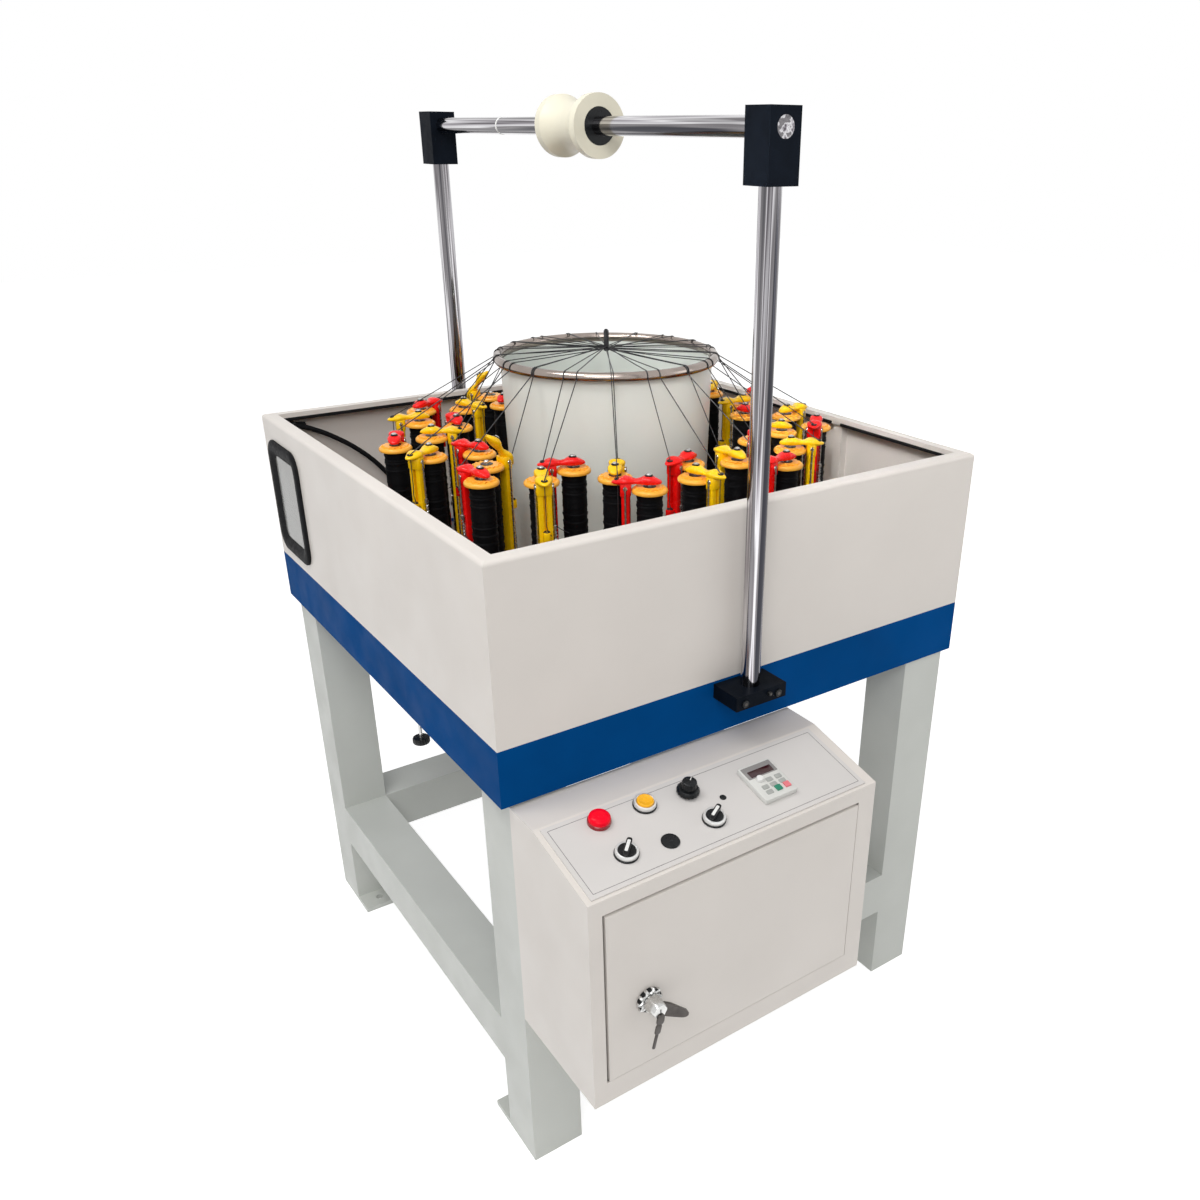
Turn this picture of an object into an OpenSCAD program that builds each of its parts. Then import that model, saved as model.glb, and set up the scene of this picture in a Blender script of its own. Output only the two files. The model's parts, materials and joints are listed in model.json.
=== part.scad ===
// Wire braiding machine: a ring of horn gears carries two sets of bobbin carriers round a drum, inside
// a sheet-metal guard on a welded stand, with a control cabinet in front and a take-off arch above.
// Millimetres, +Z up. The origin is on the floor, below the middle of the table.

/* [Table] */
// Width of the table and the guard, across the front
table_w = 850; // [830:1:900]
// Depth of the table and the guard, front to back
table_d = 872; // [850:1:920]
// Height of the skirt's underside above the floor
skirt_z = 675; // [650:1:720]
// Height of the skirt
skirt_h = 86; // [80:1:110]
// Wall thickness of the skirt
skirt_t = 6; // [4:0.5:10]
// Width of the seat flange inside the skirt's lower edge
seat_w = 110; // [105:1:140]
// Thickness of the seat flange
seat_t = 8; // [6:0.5:12]
// Thickness of the base plate that carries the gears
base_t = 12; // [8:0.5:14]
// Thickness of the track plates
track_t = 16; // [12:0.5:18]
// Depth of the track plates' top below the skirt's top
track_recess = 4; // [0:0.5:8]
// Distance of the braiding axis to the right of the table's middle
axis_x = 18; // [0:1:22]

/* [Stand] */
// Width of the square tube of legs and stretchers
leg_w = 85; // [70:1:90]
// Wall thickness of the square tube
leg_wall = 4; // [3:0.5:6]
// Distance from the skirt's side to the leg
leg_inset_x = 14; // [6:1:18]
// Distance from the skirt's front or back to the leg
leg_inset_y = 6; // [2:1:18]
// Height of the stretchers' underside above the floor
stretcher_z = 148; // [100:1:220]
// Thickness of the foot plates
foot_t = 10; // [8:0.5:15]
// Length of the foot plate past the leg
foot_reach = 48; // [40:1:60]
// Width of the foot plate's tab past the leg
foot_tab_w = 72; // [60:1:80]
// Diameter of the anchor hole in each foot plate
anchor_d = 14; // [10:0.5:18]
// Distance from the leg to the anchor hole's centre
anchor_set = 24; // [20:1:26]

/* [Guard] */
// Height of the guard walls
guard_h = 255; // [220:1:300]
// Thickness of the guard's sheet
guard_t = 2.5; // [2:0.1:3]
// Width of the flange along the guard's top
guard_flange_w = 22; // [16:1:28]
// Depth of the lip folded down from the flange
guard_lip = 12; // [8:1:18]
// Bend radius at the guard's top edge
guard_bend_r = 6; // [4:0.5:8]
// Place of the stiffener on the right wall, from the middle towards the front
stiffener_y = 142; // [-200:1:200]
// Width of the stiffener
stiffener_w = 20; // [16:1:40]
// Depth of the stiffener
stiffener_d = 14; // [8:1:18]
// Distance from the guard's back end to the window's middle
window_in = 99; // [91:1:186]
// Height of the window's middle above the skirt
window_z = 120; // [110:1:130]
// Width of the window gasket
window_w = 154; // [120:1:156]
// Height of the window gasket
window_h = 200; // [160:1:202]
// Corner radius of the window gasket
window_r = 30; // [24:1:40]
// Width of the gasket's face
gasket_w = 14; // [12:0.5:18]
// Thickness of the gasket
gasket_t = 10; // [8:0.5:14]
// Thickness of the window pane
pane_t = 3; // [2:0.5:4]

/* [Gears and carriers] */
// Pitch radius of a horn gear
gear_r = 52; // [50:0.5:53]
// Teeth of a horn gear
gear_teeth = 27; // [18, 27, 36]
// Face width of the gears
gear_t = 16; // [10:0.5:20]
// Tooth height above the pitch circle
tooth_add = 2.2; // [1.5:0.1:2.4]
// Tooth depth below the pitch circle
tooth_ded = 3; // [2.6:0.1:3.6]
// Clearance between meshing flanks
tooth_gap = 1; // [0.7:0.1:1.4]
// Teeth of the drive pinion
pinion_teeth = 18; // [16:2:20]
// Angle that the first carrier has gone past the crossing of the tracks
carrier_phase = 17; // [15:1:20]
// Thickness of the notched horn plate
horn_t = 8; // [6:0.5:10]
// Radius of the gear studs
stud_r = 10; // [8:0.5:12]
// Running clearance of a shaft in its bore
run_gap = 0.05; // [0.02:0.01:0.09]
// Gap between faces that slide or turn past each other
face_gap = 0.3; // [0.3:0.05:0.6]
// Radius of the carrier's foot pin
pin_r = 5.5; // [4:0.5:6]
// Gap between the foot pin and the track
track_gap = 0.5; // [0.4:0.1:1]
// Radius of the carrier's foot
foot_r = 18; // [14:0.5:20]
// Thickness of the carrier's foot
carrier_foot_t = 7; // [5:0.5:9]
// Height of the carrier's base plate above the track
carrier_base_z = 46; // [36:1:60]
// Thickness of the carrier's base plate
carrier_base_t = 12; // [8:0.5:16]
// Radius of the bobbin's flanges
flange_r = 25.5; // [22:0.5:26]
// Thickness of the bobbin's flanges
flange_t = 5; // [4:0.5:8]
// Height of the ratchet crown on the upper flange
crown_t = 4; // [3:0.5:6]
// Ratchet teeth on the upper flange
crown_teeth = 14; // [10:1:18]
// Radius of the wound yarn
yarn_r = 18.5; // [14:0.5:20]
// Length of the wound yarn
yarn_l = 197; // [150:1:210]
// Radius of the bobbin's spindle
spindle_r = 4; // [3:0.5:5]
// Distance from the bobbin's axis to the middle of the post
post_u = 33; // [32:0.5:36]
// Depth of the post along the travel
post_d = 12; // [10:0.5:12]
// Width of the post across the travel
post_w = 20; // [14:0.5:24]
// Depth of the groove down the post
post_groove = 4; // [2:0.5:6]
// Radius of the guide rods beside the post
rod_r = 2; // [1.5:0.25:2.5]
// Thickness of the top lever
lever_t = 10; // [6:0.5:11]
// Width of the lever's hump over the bobbin
lever_w = 19; // [14:0.5:20]
// Width of the lever's head over the post
lever_head_w = 24; // [20:0.5:25]
// Reach of the lever behind the bobbin's axis
lever_back = 15; // [10:0.5:16]
// Angle of a lever that stands open
latch_lift = 48; // [20:1:60]
// Distance from the bobbin's axis to the thread eye
eye_u = 44; // [42:0.5:46]
// Radius of the eye's boss
eye_boss_r = 6; // [5:0.5:6.5]
// Radius of the thread eye
eye_r = 2.5; // [1.5:0.25:3]
// Height of the lower guide below the upper flange
guide_drop = 78; // [60:1:100]
// Height of the lower guide
guide_h = 14; // [10:1:20]

/* [Drum and arch] */
// Radius of the drum at its top
drum_top_r = 171; // [168:1:174]
// Radius of the drum at its foot
drum_foot_r = 160; // [150:1:170]
// Wall thickness of the drum
drum_t = 3; // [2:0.5:5]
// Height of the braiding ring's middle above the track plates
ring_z = 383; // [340:1:400]
// Radius of the braiding ring
braid_ring_r = 174.5; // [174.5:0.5:176]
// Radius of the braiding ring's tube
ring_tube_r = 7.5; // [7:0.5:9]
// Radius of a strand
strand_r = 0.8; // [0.6:0.1:1.2]
// Radius of the finished braid
braid_r = 4; // [3:0.5:5]
// Length of the finished braid above the ring
braid_l = 34; // [20:1:60]
// Height of the arch above the floor
arch_h = 1495; // [1400:5:1600]
// Place of the arch from the table's middle, across the front
arch_x = -38; // [-60:1:0]
// Radius of the arch's posts
arch_post_r = 14; // [12:0.5:18]
// Radius of the cross bar
bar_r = 12.5; // [10:0.5:14]
// Depth of the cross bar's middle below the arch's top
bar_drop = 22; // [20:1:30]
// Width and depth of the corner blocks
corner_w = 46; // [42:1:56]
// Height of the corner blocks
corner_h = 84; // [76:1:100]
// Depth of a post's end in its corner block
post_seat = 38; // [20:1:40]
// Width of the base blocks
block_w = 90; // [70:1:110]
// Depth of the base blocks
block_d = 54; // [46:1:60]
// Height of the base blocks
block_h = 22; // [18:1:40]
// Depth of the base blocks' top below the skirt's top
block_drop = 4; // [0:0.5:10]
// Radius of the pulley's flanges
pulley_r = 42; // [40:0.5:46]
// Radius of the pulley's groove
groove_r = 30; // [29:0.5:34]
// Place of the pulley along the bar, from the middle towards the back
pulley_y = -30; // [-100:1:100]
// Width of the pulley
pulley_w = 112; // [80:1:130]
// Thickness of the pulley's flanges at the rim
pulley_rim = 14; // [8:0.5:20]
// Radius of the bushes in the pulley
bush_r = 20; // [17:0.5:22]
// Length of a bush inside the pulley
bush_l = 36; // [20:1:38]
// Radius of the bush's collar
collar_r = 24.5; // [23:0.5:27]
// Thickness of the bush's collar
collar_t = 7; // [4:0.5:8]

/* [Cabinet] */
// Depth of the control cabinet
cab_d = 196.5; // [180:0.5:220]
// Height of the cabinet's underside above the floor
cab_z = 300; // [280:1:320]
// Height of the cabinet's front face
cab_front_h = 338; // [310:1:338]
// Depth of the flat strip along the cabinet's top
cab_flat_d = 63; // [40:1:80]
// Thickness of the cabinet's sheet
cab_t = 2.5; // [2:0.1:4]
// Thickness of the control panel
panel_t = 2; // [1.5:0.1:3]
// Margin of the control panel at the cabinet's left side
panel_left = 8; // [4:0.5:12]
// Margin of the control panel at the cabinet's right side
panel_right = 17; // [6:0.5:24]
// Margin of the control panel at the slope's ends
panel_edge = 5; // [2:0.5:6]
// Width of the door
door_w = 420; // [380:1:440]
// Height of the door
door_h = 273; // [240:1:280]
// Thickness of the door's sheet
door_t = 2.5; // [2:0.1:4]
// Depth of the door's folded pan
door_pan = 14; // [14:0.5:18]
// Height of the door's face above the cabinet's front
door_proud = 2; // [1:0.5:2]
// Gap round the door
door_seam = 3; // [2.8:0.1:4]
// Margin of the door above the cabinet's underside
door_lift = 39; // [30:1:44]
// Margin of the door at the cabinet's left side
door_left = 23; // [18:0.5:26]
// Margin of the door at the cabinet's right side
door_right = 33.5; // [26:0.5:40]
// Radius of the hinge pins
hinge_pin_r = 2; // [1.5:0.25:2]
// Distance of the hinge axis from the door's right edge
hinge_in = 10; // [10:0.5:12]
// Height of the hinge blocks in the door's corners
hinge_block = 16; // [10:1:24]
// Height of the hinge lugs on the cabinet
lug_h = 12; // [8:1:16]
// Depth of the hinge lugs
lug_d = 10; // [8:0.5:14]
// Distance of the lock from the door's left edge
lock_x = 61; // [50:1:80]
// Height of the lock above the door's bottom edge
lock_z = 112; // [90:1:150]
// Radius of the lock's rosette
rosette_r = 19.5; // [14:0.5:22]
// Thickness of the lock's rosette
rosette_t = 8; // [5:0.5:10]
// Length of the lock's wing handle
wing_l = 46; // [30:1:50]
// Width of the lock's wing handle
wing_w = 14; // [10:0.5:16]
// Thickness of the lock's wing handle
wing_t = 14; // [7:0.5:16]
// Radius of the wing handle's hub
wing_hub_r = 12.5; // [9:0.5:14]
// Angle at which the wing handle hangs down
wing_droop = 12; // [0:1:30]

/* [Controls] */
// Radius of the controls' bezels
bezel_r = 15; // [14.2:0.1:16]
// Height of the bezels above the panel
bezel_h = 6; // [4:0.5:7]
// Radius of the controls' barrels, which pass the panel
barrel_r = 11; // [11:0.25:11.5]
// Radius of the moving button and selector inserts
insert_r = 9.5; // [9:0.1:9.8]
// Depth of the barrels behind the panel
barrel_l = 34; // [28:1:40]
// Height of the push button above its bezel
button_h = 5; // [4:0.5:8]
// Length of the selector handles
handle_l = 24; // [18:1:28]
// Width of the selector handles
handle_w = 7; // [5:0.5:9]
// Height of the selector handles
handle_h = 11; // [8:0.5:14]
// Radius of the speed knob
knob_r = 13.5; // [11:0.5:15]
// Height of the speed knob
knob_h = 19; // [14:0.5:24]
// Width of the keypad
keypad_w = 56; // [54:1:64]
// Height of the keypad on the panel
keypad_l = 67.5; // [66:0.5:74]
// Thickness of the keypad
keypad_t = 9; // [8:0.5:12]
// Radius of the keypad's dial
dial_r = 5.5; // [4.5:0.25:6]
// Side of a key
key_w = 9; // [7:0.5:10]
// Height of a key above the keypad
key_h = 2; // [1.7:0.1:3]
// Travel of a key
key_travel = 1.2; // [0.6:0.1:1.4]

/* [Drive and fittings] */
// Radius of the drive motor
motor_r = 56; // [45:1:62]
// Length of the drive motor
motor_l = 190; // [140:5:220]
// Side of the motor's flange
motor_flange_w = 120; // [116:1:140]
// Thickness of the motor's flange
motor_flange_t = 12; // [10:0.5:16]
// Width of the inverter
inverter_w = 110; // [90:1:130]
// Height of the inverter
inverter_h = 170; // [140:1:190]
// Depth of the inverter
inverter_d = 120; // [90:1:130]
// Radius of the adjuster's knob
adjuster_r = 14; // [10:0.5:18]
// Thickness of the adjuster's knob
adjuster_t = 10; // [8:0.5:16]
// Radius of the adjuster's rod
rod_adjust_r = 3; // [2.5:0.25:4]
// Length of the adjuster's rod below the skirt
adjuster_l = 104; // [60:1:120]
// Radius of the cable inside the guard
cable_r = 4.5; // [3.5:0.25:5]

/* [Hidden] */
$fn = 64;
gear_count = 18;
ring_r = gear_r / sin(180 / gear_count);
pinion_r = gear_r * pinion_teeth / gear_teeth;
drive_gear = 3;

base_z0 = skirt_z + seat_t;
base_z1 = base_z0 + base_t;
skirt_top = skirt_z + skirt_h;
track_z1 = skirt_top - track_recess;
track_z0 = track_z1 - track_t;
shoulder_h = 5;
shoulder_w = 5;
hub_wall = 12;
horn_drop = 6;
horn_short = 0.6;
pillar_r = 14;
pillar_in = 60;
inner_pillar_r = 12;
inner_pillar_at = 190;
gear_z0 = base_z1 + shoulder_h + face_gap;
horn_z1 = track_z0 - horn_drop;
horn_z0 = horn_z1 - horn_t;
horn_r = gear_r - horn_short;
slot_half = pin_r + track_gap;

leg_x = table_w / 2 - leg_inset_x;
leg_y = table_d / 2 - leg_inset_y;
window_y = table_d / 2 - window_in;
anchor_x = leg_x - foot_tab_w / 2;
anchor_y = leg_y - leg_w - anchor_set;

carrier_base_z0 = track_z1 + carrier_base_z;
carrier_base_z1 = carrier_base_z0 + carrier_base_t;
bobbin_z0 = carrier_base_z1 + face_gap;
yarn_z0 = bobbin_z0 + flange_t;
yarn_z1 = yarn_z0 + yarn_l;
bobbin_z1 = yarn_z1 + flange_t + crown_t;
lever_z0 = bobbin_z1 + face_gap * 8;
lever_side = [
    [-lever_back, lever_w * 0.16], [-lever_back * 0.8, lever_w * 0.32], [-3, lever_w * 0.5],
    [5, lever_w * 0.5], [12, lever_w * 0.39], [19, lever_w * 0.34],
    [post_u - 8, lever_head_w * 0.38], [post_u - 2, lever_head_w * 0.5], [post_u + 5, lever_head_w * 0.46],
    [eye_u + 2, lever_head_w * 0.3], [eye_u + eye_boss_r, lever_head_w * 0.16]
];
open_latches = [10, 15];

ring_z_abs = track_z1 + ring_z;
web_z = ring_z_abs + ring_tube_r + strand_r + run_gap;
drum_h = ring_z - sqrt(pow(ring_tube_r, 2) - pow(braid_ring_r - drum_top_r, 2));
arch_y = table_d / 2 + block_d / 2;
bar_z = arch_h - bar_drop;
corner_z0 = arch_h - corner_h;
bar_l = 2 * arch_y + corner_w;

cab_x0 = -leg_x;
cab_w = door_left + door_w + door_right;
cab_back = -leg_y;
cab_front = cab_back - cab_d;
cab_lip_z = cab_z + cab_front_h;
cab_top = skirt_z - 5;
slope_d = cab_d - cab_flat_d;
panel_tilt = atan2(cab_top - cab_lip_z, slope_d);
slope_l = slope_d / cos(panel_tilt);
door_x0 = cab_x0 + door_left;
door_x1 = door_x0 + door_w;
door_z0 = cab_z + door_lift;
door_z1 = door_z0 + door_h;
door_face = cab_front - door_proud;
hinge_x = door_x1 - hinge_in;
hinge_y = cab_front + cab_t + hinge_pin_r + 0.5;
cam_y = door_face + door_pan + 1.5;
cam_t = 4;
cam_l = 74;
lock_pos = [door_x0 + lock_x, door_z0 + lock_z];
lock_barrel_r = 8;
lock_shaft_r = 5;
cam_w = 16;
wing_step = 1.5;
keeper_in = 6;
keeper_h = 32;

lamp_at = [82, 110];
button_at = [152, 109];
knob_at = [217, 102];
selector_left_at = [85, 48];
selector_right_at = [221, 46];
plug_at = [147, 40];
keypad_at = [328, 68];
dial_off = [-11.5, 3];
run_off = [3, -21];
stop_off = [18, -21];
insert_l = 10;
selector_rest = -45;
bezel_bore = 18;
lamp_step = 1.5;
lamp_h = 6;
panel_gap = 0.1;
pot_shaft_r = 3;
pot_shaft_l = 10;
pot_bush_r = 5;
pot_bush_h = 3;
pot_body_r = 12;
pot_body_l = 16;
plug_lip = 1.5;
plug_h = 2.5;
plug_l = 10;
key_floor = 3;
dial_shaft_r = 3;
dial_h = 5;

inverter_at = [300, 70];
drive_shaft_l = 44;
shaft_gap = 2;

adjuster_x = -table_w / 2 + 51;
adjuster_y = -32;

gland_r = 9;
gland_h = 20;
cable_y = table_d / 2 - skirt_t - gland_r - face_gap;
cable_route = [
    [-370, 990], [-356, 986], [-340, 979], [-322, 970], [-304, 959], [-286, 947], [-268, 933], [-250, 917],
    [-233, 899], [-217, 879], [-203, 857], [-192, 834], [-185, 810], [-182, 792], [-181, 777]
];
cable_sides = 10;
connector = [16, 20, 18];

// Flat shapes
module rounded(w, h, r) {
    square([w - 2 * r, h], center = true);
    square([w, h - 2 * r], center = true);
    for (x = [-1, 1], y = [-1, 1]) {
        translate([x * (w / 2 - r), y * (h / 2 - r)]) circle(r);
    }
}

module toothed(pitch_r, teeth, shift) {
    step = 360 / teeth;
    flank = tooth_gap / 2 / pitch_r * 180 / PI;
    root_half = step * 0.31 - flank;
    tip_half = step * 0.17 - flank;
    polygon([
        for (i = [0 : teeth - 1], p = [[-1, 0], [-1, 1], [1, 1], [1, 0]])
            let (a = shift + i * step + p[0] * (p[1] == 0 ? root_half : tip_half))
            let (r = p[1] == 0 ? pitch_r - tooth_ded : pitch_r + tooth_add)
            [r * cos(a), r * sin(a)]
    ]);
}

function gear_angle(k) = 270 + k * 360 / gear_count;
function gear_at(k) = [axis_x + ring_r * cos(gear_angle(k)), ring_r * sin(gear_angle(k)), 0];
function turn_of(k) = k % 2 == 0 ? 1 : -1;
function carrier_spin(k, red) = (red ? 90 + turn_of(k) * 90 : -90) + turn_of(k) * carrier_phase;

// Direction of a carrier's thread eye as seen from the braiding axis
function eye_polar(k, red) =
    let (a = gear_angle(k) + carrier_spin(k, red))
    let (b = a + turn_of(k) * 90)
    let (v = gear_at(k) - [axis_x, 0, 0] + gear_r * [cos(a), sin(a), 0] + eye_u * [cos(b), sin(b), 0])
    atan2(v[1], v[0]);

module each_gear() {
    for (k = [0 : gear_count - 1]) translate(gear_at(k)) children();
}

module four_corners() {
    for (x = [0, 1], y = [0, 1]) mirror([x, 0, 0]) mirror([0, y, 0]) children();
}

module on_panel(at, lift = 0) {
    translate([cab_x0 + at[0], cab_front, cab_lip_z])
        rotate([panel_tilt, 0, 0])
            translate([0, at[1], lift])
                children();
}

// Stand
module square_tube(l) {
    difference() {
        cube([leg_w, leg_w, l]);
        translate([leg_wall, leg_wall, -1]) cube([leg_w - 2 * leg_wall, leg_w - 2 * leg_wall, l + 2]);
    }
}

module legs() color("gainsboro") four_corners() {
    translate([leg_x - leg_w, leg_y - leg_w, foot_t]) square_tube(skirt_z - foot_t);
    difference() {
        union() {
            translate([leg_x - leg_w, leg_y - leg_w, 0]) cube([leg_w, leg_w, foot_t]);
            translate([leg_x - foot_tab_w, leg_y - leg_w - foot_reach, 0])
                cube([foot_tab_w, leg_w + foot_reach, foot_t]);
        }
        translate([anchor_x, anchor_y, -1]) cylinder(d = anchor_d, h = foot_t + 2);
    }
}

module stretchers() color("gainsboro") {
    for (s = [0, 1]) {
        mirror([0, s, 0]) translate([-leg_x + leg_w, leg_y - leg_w, stretcher_z])
            rotate([90, 0, 90]) square_tube(2 * (leg_x - leg_w));
        mirror([s, 0, 0]) translate([leg_x - leg_w, leg_y - leg_w, stretcher_z])
            rotate([90, 0, 0]) square_tube(2 * (leg_y - leg_w));
    }
}

// Table
module table_skirt() color("royalblue") difference() {
    translate([-table_w / 2, -table_d / 2, skirt_z]) cube([table_w, table_d, skirt_h]);
    translate([-table_w / 2 + skirt_t, -table_d / 2 + skirt_t, base_z0])
        cube([table_w - 2 * skirt_t, table_d - 2 * skirt_t, skirt_h]);
    translate([-table_w / 2 + seat_w, -table_d / 2 + seat_w, skirt_z - 1])
        cube([table_w - 2 * seat_w, table_d - 2 * seat_w, seat_t + 2]);
    translate([adjuster_x, adjuster_y, skirt_z - 1]) cylinder(r = rod_adjust_r + run_gap, h = seat_t + 2);
}

module table_inside(h) {
    linear_extrude(h) square([table_w - 2 * skirt_t - 1, table_d - 2 * skirt_t - 1], center = true);
}

function pinion_at() = gear_at(drive_gear)
    - (gear_r + pinion_r) * [cos(gear_angle(drive_gear)), sin(gear_angle(drive_gear)), 0];

module base_plate() color("dimgray") difference() {
    translate([0, 0, base_z0]) table_inside(base_t);
    translate(pinion_at() + [0, 0, base_z0 - 1]) cylinder(r = stud_r + shaft_gap, h = base_t + 2);
}

module track_plates() color("slategray") {
    pillar_h = track_z0 - base_z1;
    translate([0, 0, track_z0]) difference() {
        table_inside(track_t);
        translate([axis_x, 0, -1]) cylinder(r = ring_r, h = track_t + 2);
        translate([0, 0, -1]) each_gear() cylinder(r = gear_r + slot_half, h = track_t + 2);
    }
    four_corners() translate([table_w / 2 - pillar_in, table_d / 2 - pillar_in, base_z1])
        cylinder(r = pillar_r, h = pillar_h);
    translate([0, 0, track_z0]) difference() {
        translate([axis_x, 0, 0]) cylinder(r = ring_r, h = track_t);
        translate([0, 0, -1]) each_gear() cylinder(r = gear_r + slot_half, h = track_t + 2);
    }
    for (a = [0 : 60 : 300]) {
        translate([axis_x + inner_pillar_at * cos(a), inner_pillar_at * sin(a), base_z1])
            cylinder(r = inner_pillar_r, h = pillar_h);
    }
}

module track_quoits() color("silver") each_gear() {
    translate([0, 0, base_z1]) cylinder(r = stud_r + shoulder_w, h = shoulder_h);
    translate([0, 0, base_z1]) cylinder(r = stud_r, h = track_z0 - base_z1 + 1);
    translate([0, 0, track_z0]) cylinder(r = gear_r - slot_half, h = track_t);
}

// Guard
module guard_profile() {
    bend = [guard_bend_r, guard_h - guard_bend_r];
    inner_r = guard_bend_r - guard_t;
    polygon(concat(
        [[0, 0]],
        [for (a = [180 : -15 : 90]) bend + guard_bend_r * [cos(a), sin(a)]],
        [[guard_flange_w, guard_h], [guard_flange_w, guard_h - guard_lip]],
        [[guard_flange_w - guard_t, guard_h - guard_lip], [guard_flange_w - guard_t, guard_h - guard_t]],
        [for (a = [90 : 15 : 180]) bend + inner_r * [cos(a), sin(a)]],
        [[guard_t, 0]]
    ));
}

// The walls meet in mitres. Each wall loses the other wall's side of the corner.
module mitre_cut(side) {
    reach = 3 * guard_flange_w;
    translate([-table_w / 2, -table_d / 2, skirt_top - 1]) rotate(45)
        translate([-1, side > 0 ? 0 : -reach, 0]) cube([reach, reach, guard_h + 2]);
}

module guard_end_wall() difference() {
    translate([-table_w / 2, -table_d / 2, skirt_top]) rotate([90, 0, 90])
        linear_extrude(table_w) guard_profile();
    for (s = [0, 1]) mirror([s, 0, 0]) mitre_cut(1);
}

module guard_side_wall() difference() {
    translate([-table_w / 2, table_d / 2, skirt_top]) rotate([90, 0, 0])
        linear_extrude(table_d) guard_profile();
    for (s = [0, 1]) mirror([0, s, 0]) mitre_cut(-1);
}

module guard_front() color("linen") guard_end_wall();

module guard_back() color("linen") mirror([0, 1, 0]) guard_end_wall();

module at_window() {
    translate([-table_w / 2 + guard_t / 2, window_y, skirt_top + window_z]) rotate([90, 0, 90]) children();
}

module guard_left() color("linen") difference() {
    guard_side_wall();
    at_window() translate([0, 0, -10]) linear_extrude(20)
        rounded(window_w - gasket_w, window_h - gasket_w, window_r - gasket_w / 2);
}

module guard_right() color("linen") {
    mirror([1, 0, 0]) guard_side_wall();
    translate([table_w / 2 - guard_t - stiffener_d, -stiffener_y - stiffener_w / 2, skirt_top])
        cube([stiffener_d, stiffener_w, guard_h - guard_lip]);
}

module window_pane_shape(grow) {
    rounded(window_w - gasket_w + grow, window_h - gasket_w + grow, window_r - gasket_w / 2 + grow / 2);
}

module window_gasket() color("black") at_window() difference() {
    translate([0, 0, -gasket_t / 2]) linear_extrude(gasket_t) difference() {
        rounded(window_w, window_h, window_r);
        window_pane_shape(-gasket_w);
    }
    translate([0, 0, -guard_t / 2]) linear_extrude(guard_t) difference() {
        rounded(window_w + 2, window_h + 2, window_r + 1);
        window_pane_shape(0);
    }
    translate([0, 0, -pane_t / 2]) linear_extrude(pane_t) window_pane_shape(-gasket_w / 2);
}

module window_pane() color("lightgray") at_window() {
    translate([0, 0, -pane_t / 2]) linear_extrude(pane_t) window_pane_shape(-gasket_w / 2);
}

// Horn gears and carriers
module horn_gear(k) {
    turn = turn_of(k);
    shift = 100 + (turn > 0 ? 0 : 180 / gear_teeth);
    color("dimgray") difference() {
        union() {
            translate([0, 0, gear_z0]) linear_extrude(gear_t) toothed(gear_r, gear_teeth, shift);
            translate([0, 0, gear_z0]) cylinder(r = stud_r + hub_wall, h = horn_z1 - gear_z0);
            translate([0, 0, horn_z0]) cylinder(r = horn_r, h = horn_t);
        }
        translate([0, 0, gear_z0 - 1]) cylinder(r = stud_r + run_gap, h = horn_z1 - gear_z0 + 2);
        for (a = [0 : 90 : 270]) rotate(turn * carrier_phase + a) translate([gear_r, 0, horn_z0 - 1])
            cylinder(r = pin_r + track_gap, h = horn_t + 2);
    }
}

module bobbin() difference() {
    union() {
        color("orange") translate([0, 0, bobbin_z0]) cylinder(r = flange_r, h = flange_t);
        color("black") translate([0, 0, yarn_z0]) cylinder(r = yarn_r, h = yarn_l);
        color("orange") translate([0, 0, yarn_z1]) cylinder(r = flange_r, h = flange_t);
        color("orange") translate([0, 0, yarn_z1 + flange_t]) linear_extrude(crown_t) polygon([
            for (i = [0 : crown_teeth - 1], p = [[0, flange_r - 1], [0.7, flange_r - 5]])
                let (a = (i + p[0]) * 360 / crown_teeth) p[1] * [cos(a), sin(a)]
        ]);
    }
    translate([0, 0, bobbin_z0 - 1]) cylinder(r = spindle_r + face_gap, h = bobbin_z1 - bobbin_z0 + 2);
}

function lever_lift(k, red) = !red && len([for (g = open_latches) if (g == k) g]) > 0 ? latch_lift : 0;

module lever() difference() {
    last = len(lever_side) - 1;
    translate([0, 0, lever_z0]) linear_extrude(lever_t) polygon(concat(
        lever_side, [for (i = [last : -1 : 0]) [lever_side[i][0], -lever_side[i][1]]]
    ));
    translate([eye_u, 0, lever_z0 - 1]) cylinder(r = eye_r, h = lever_t + 2);
}

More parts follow.
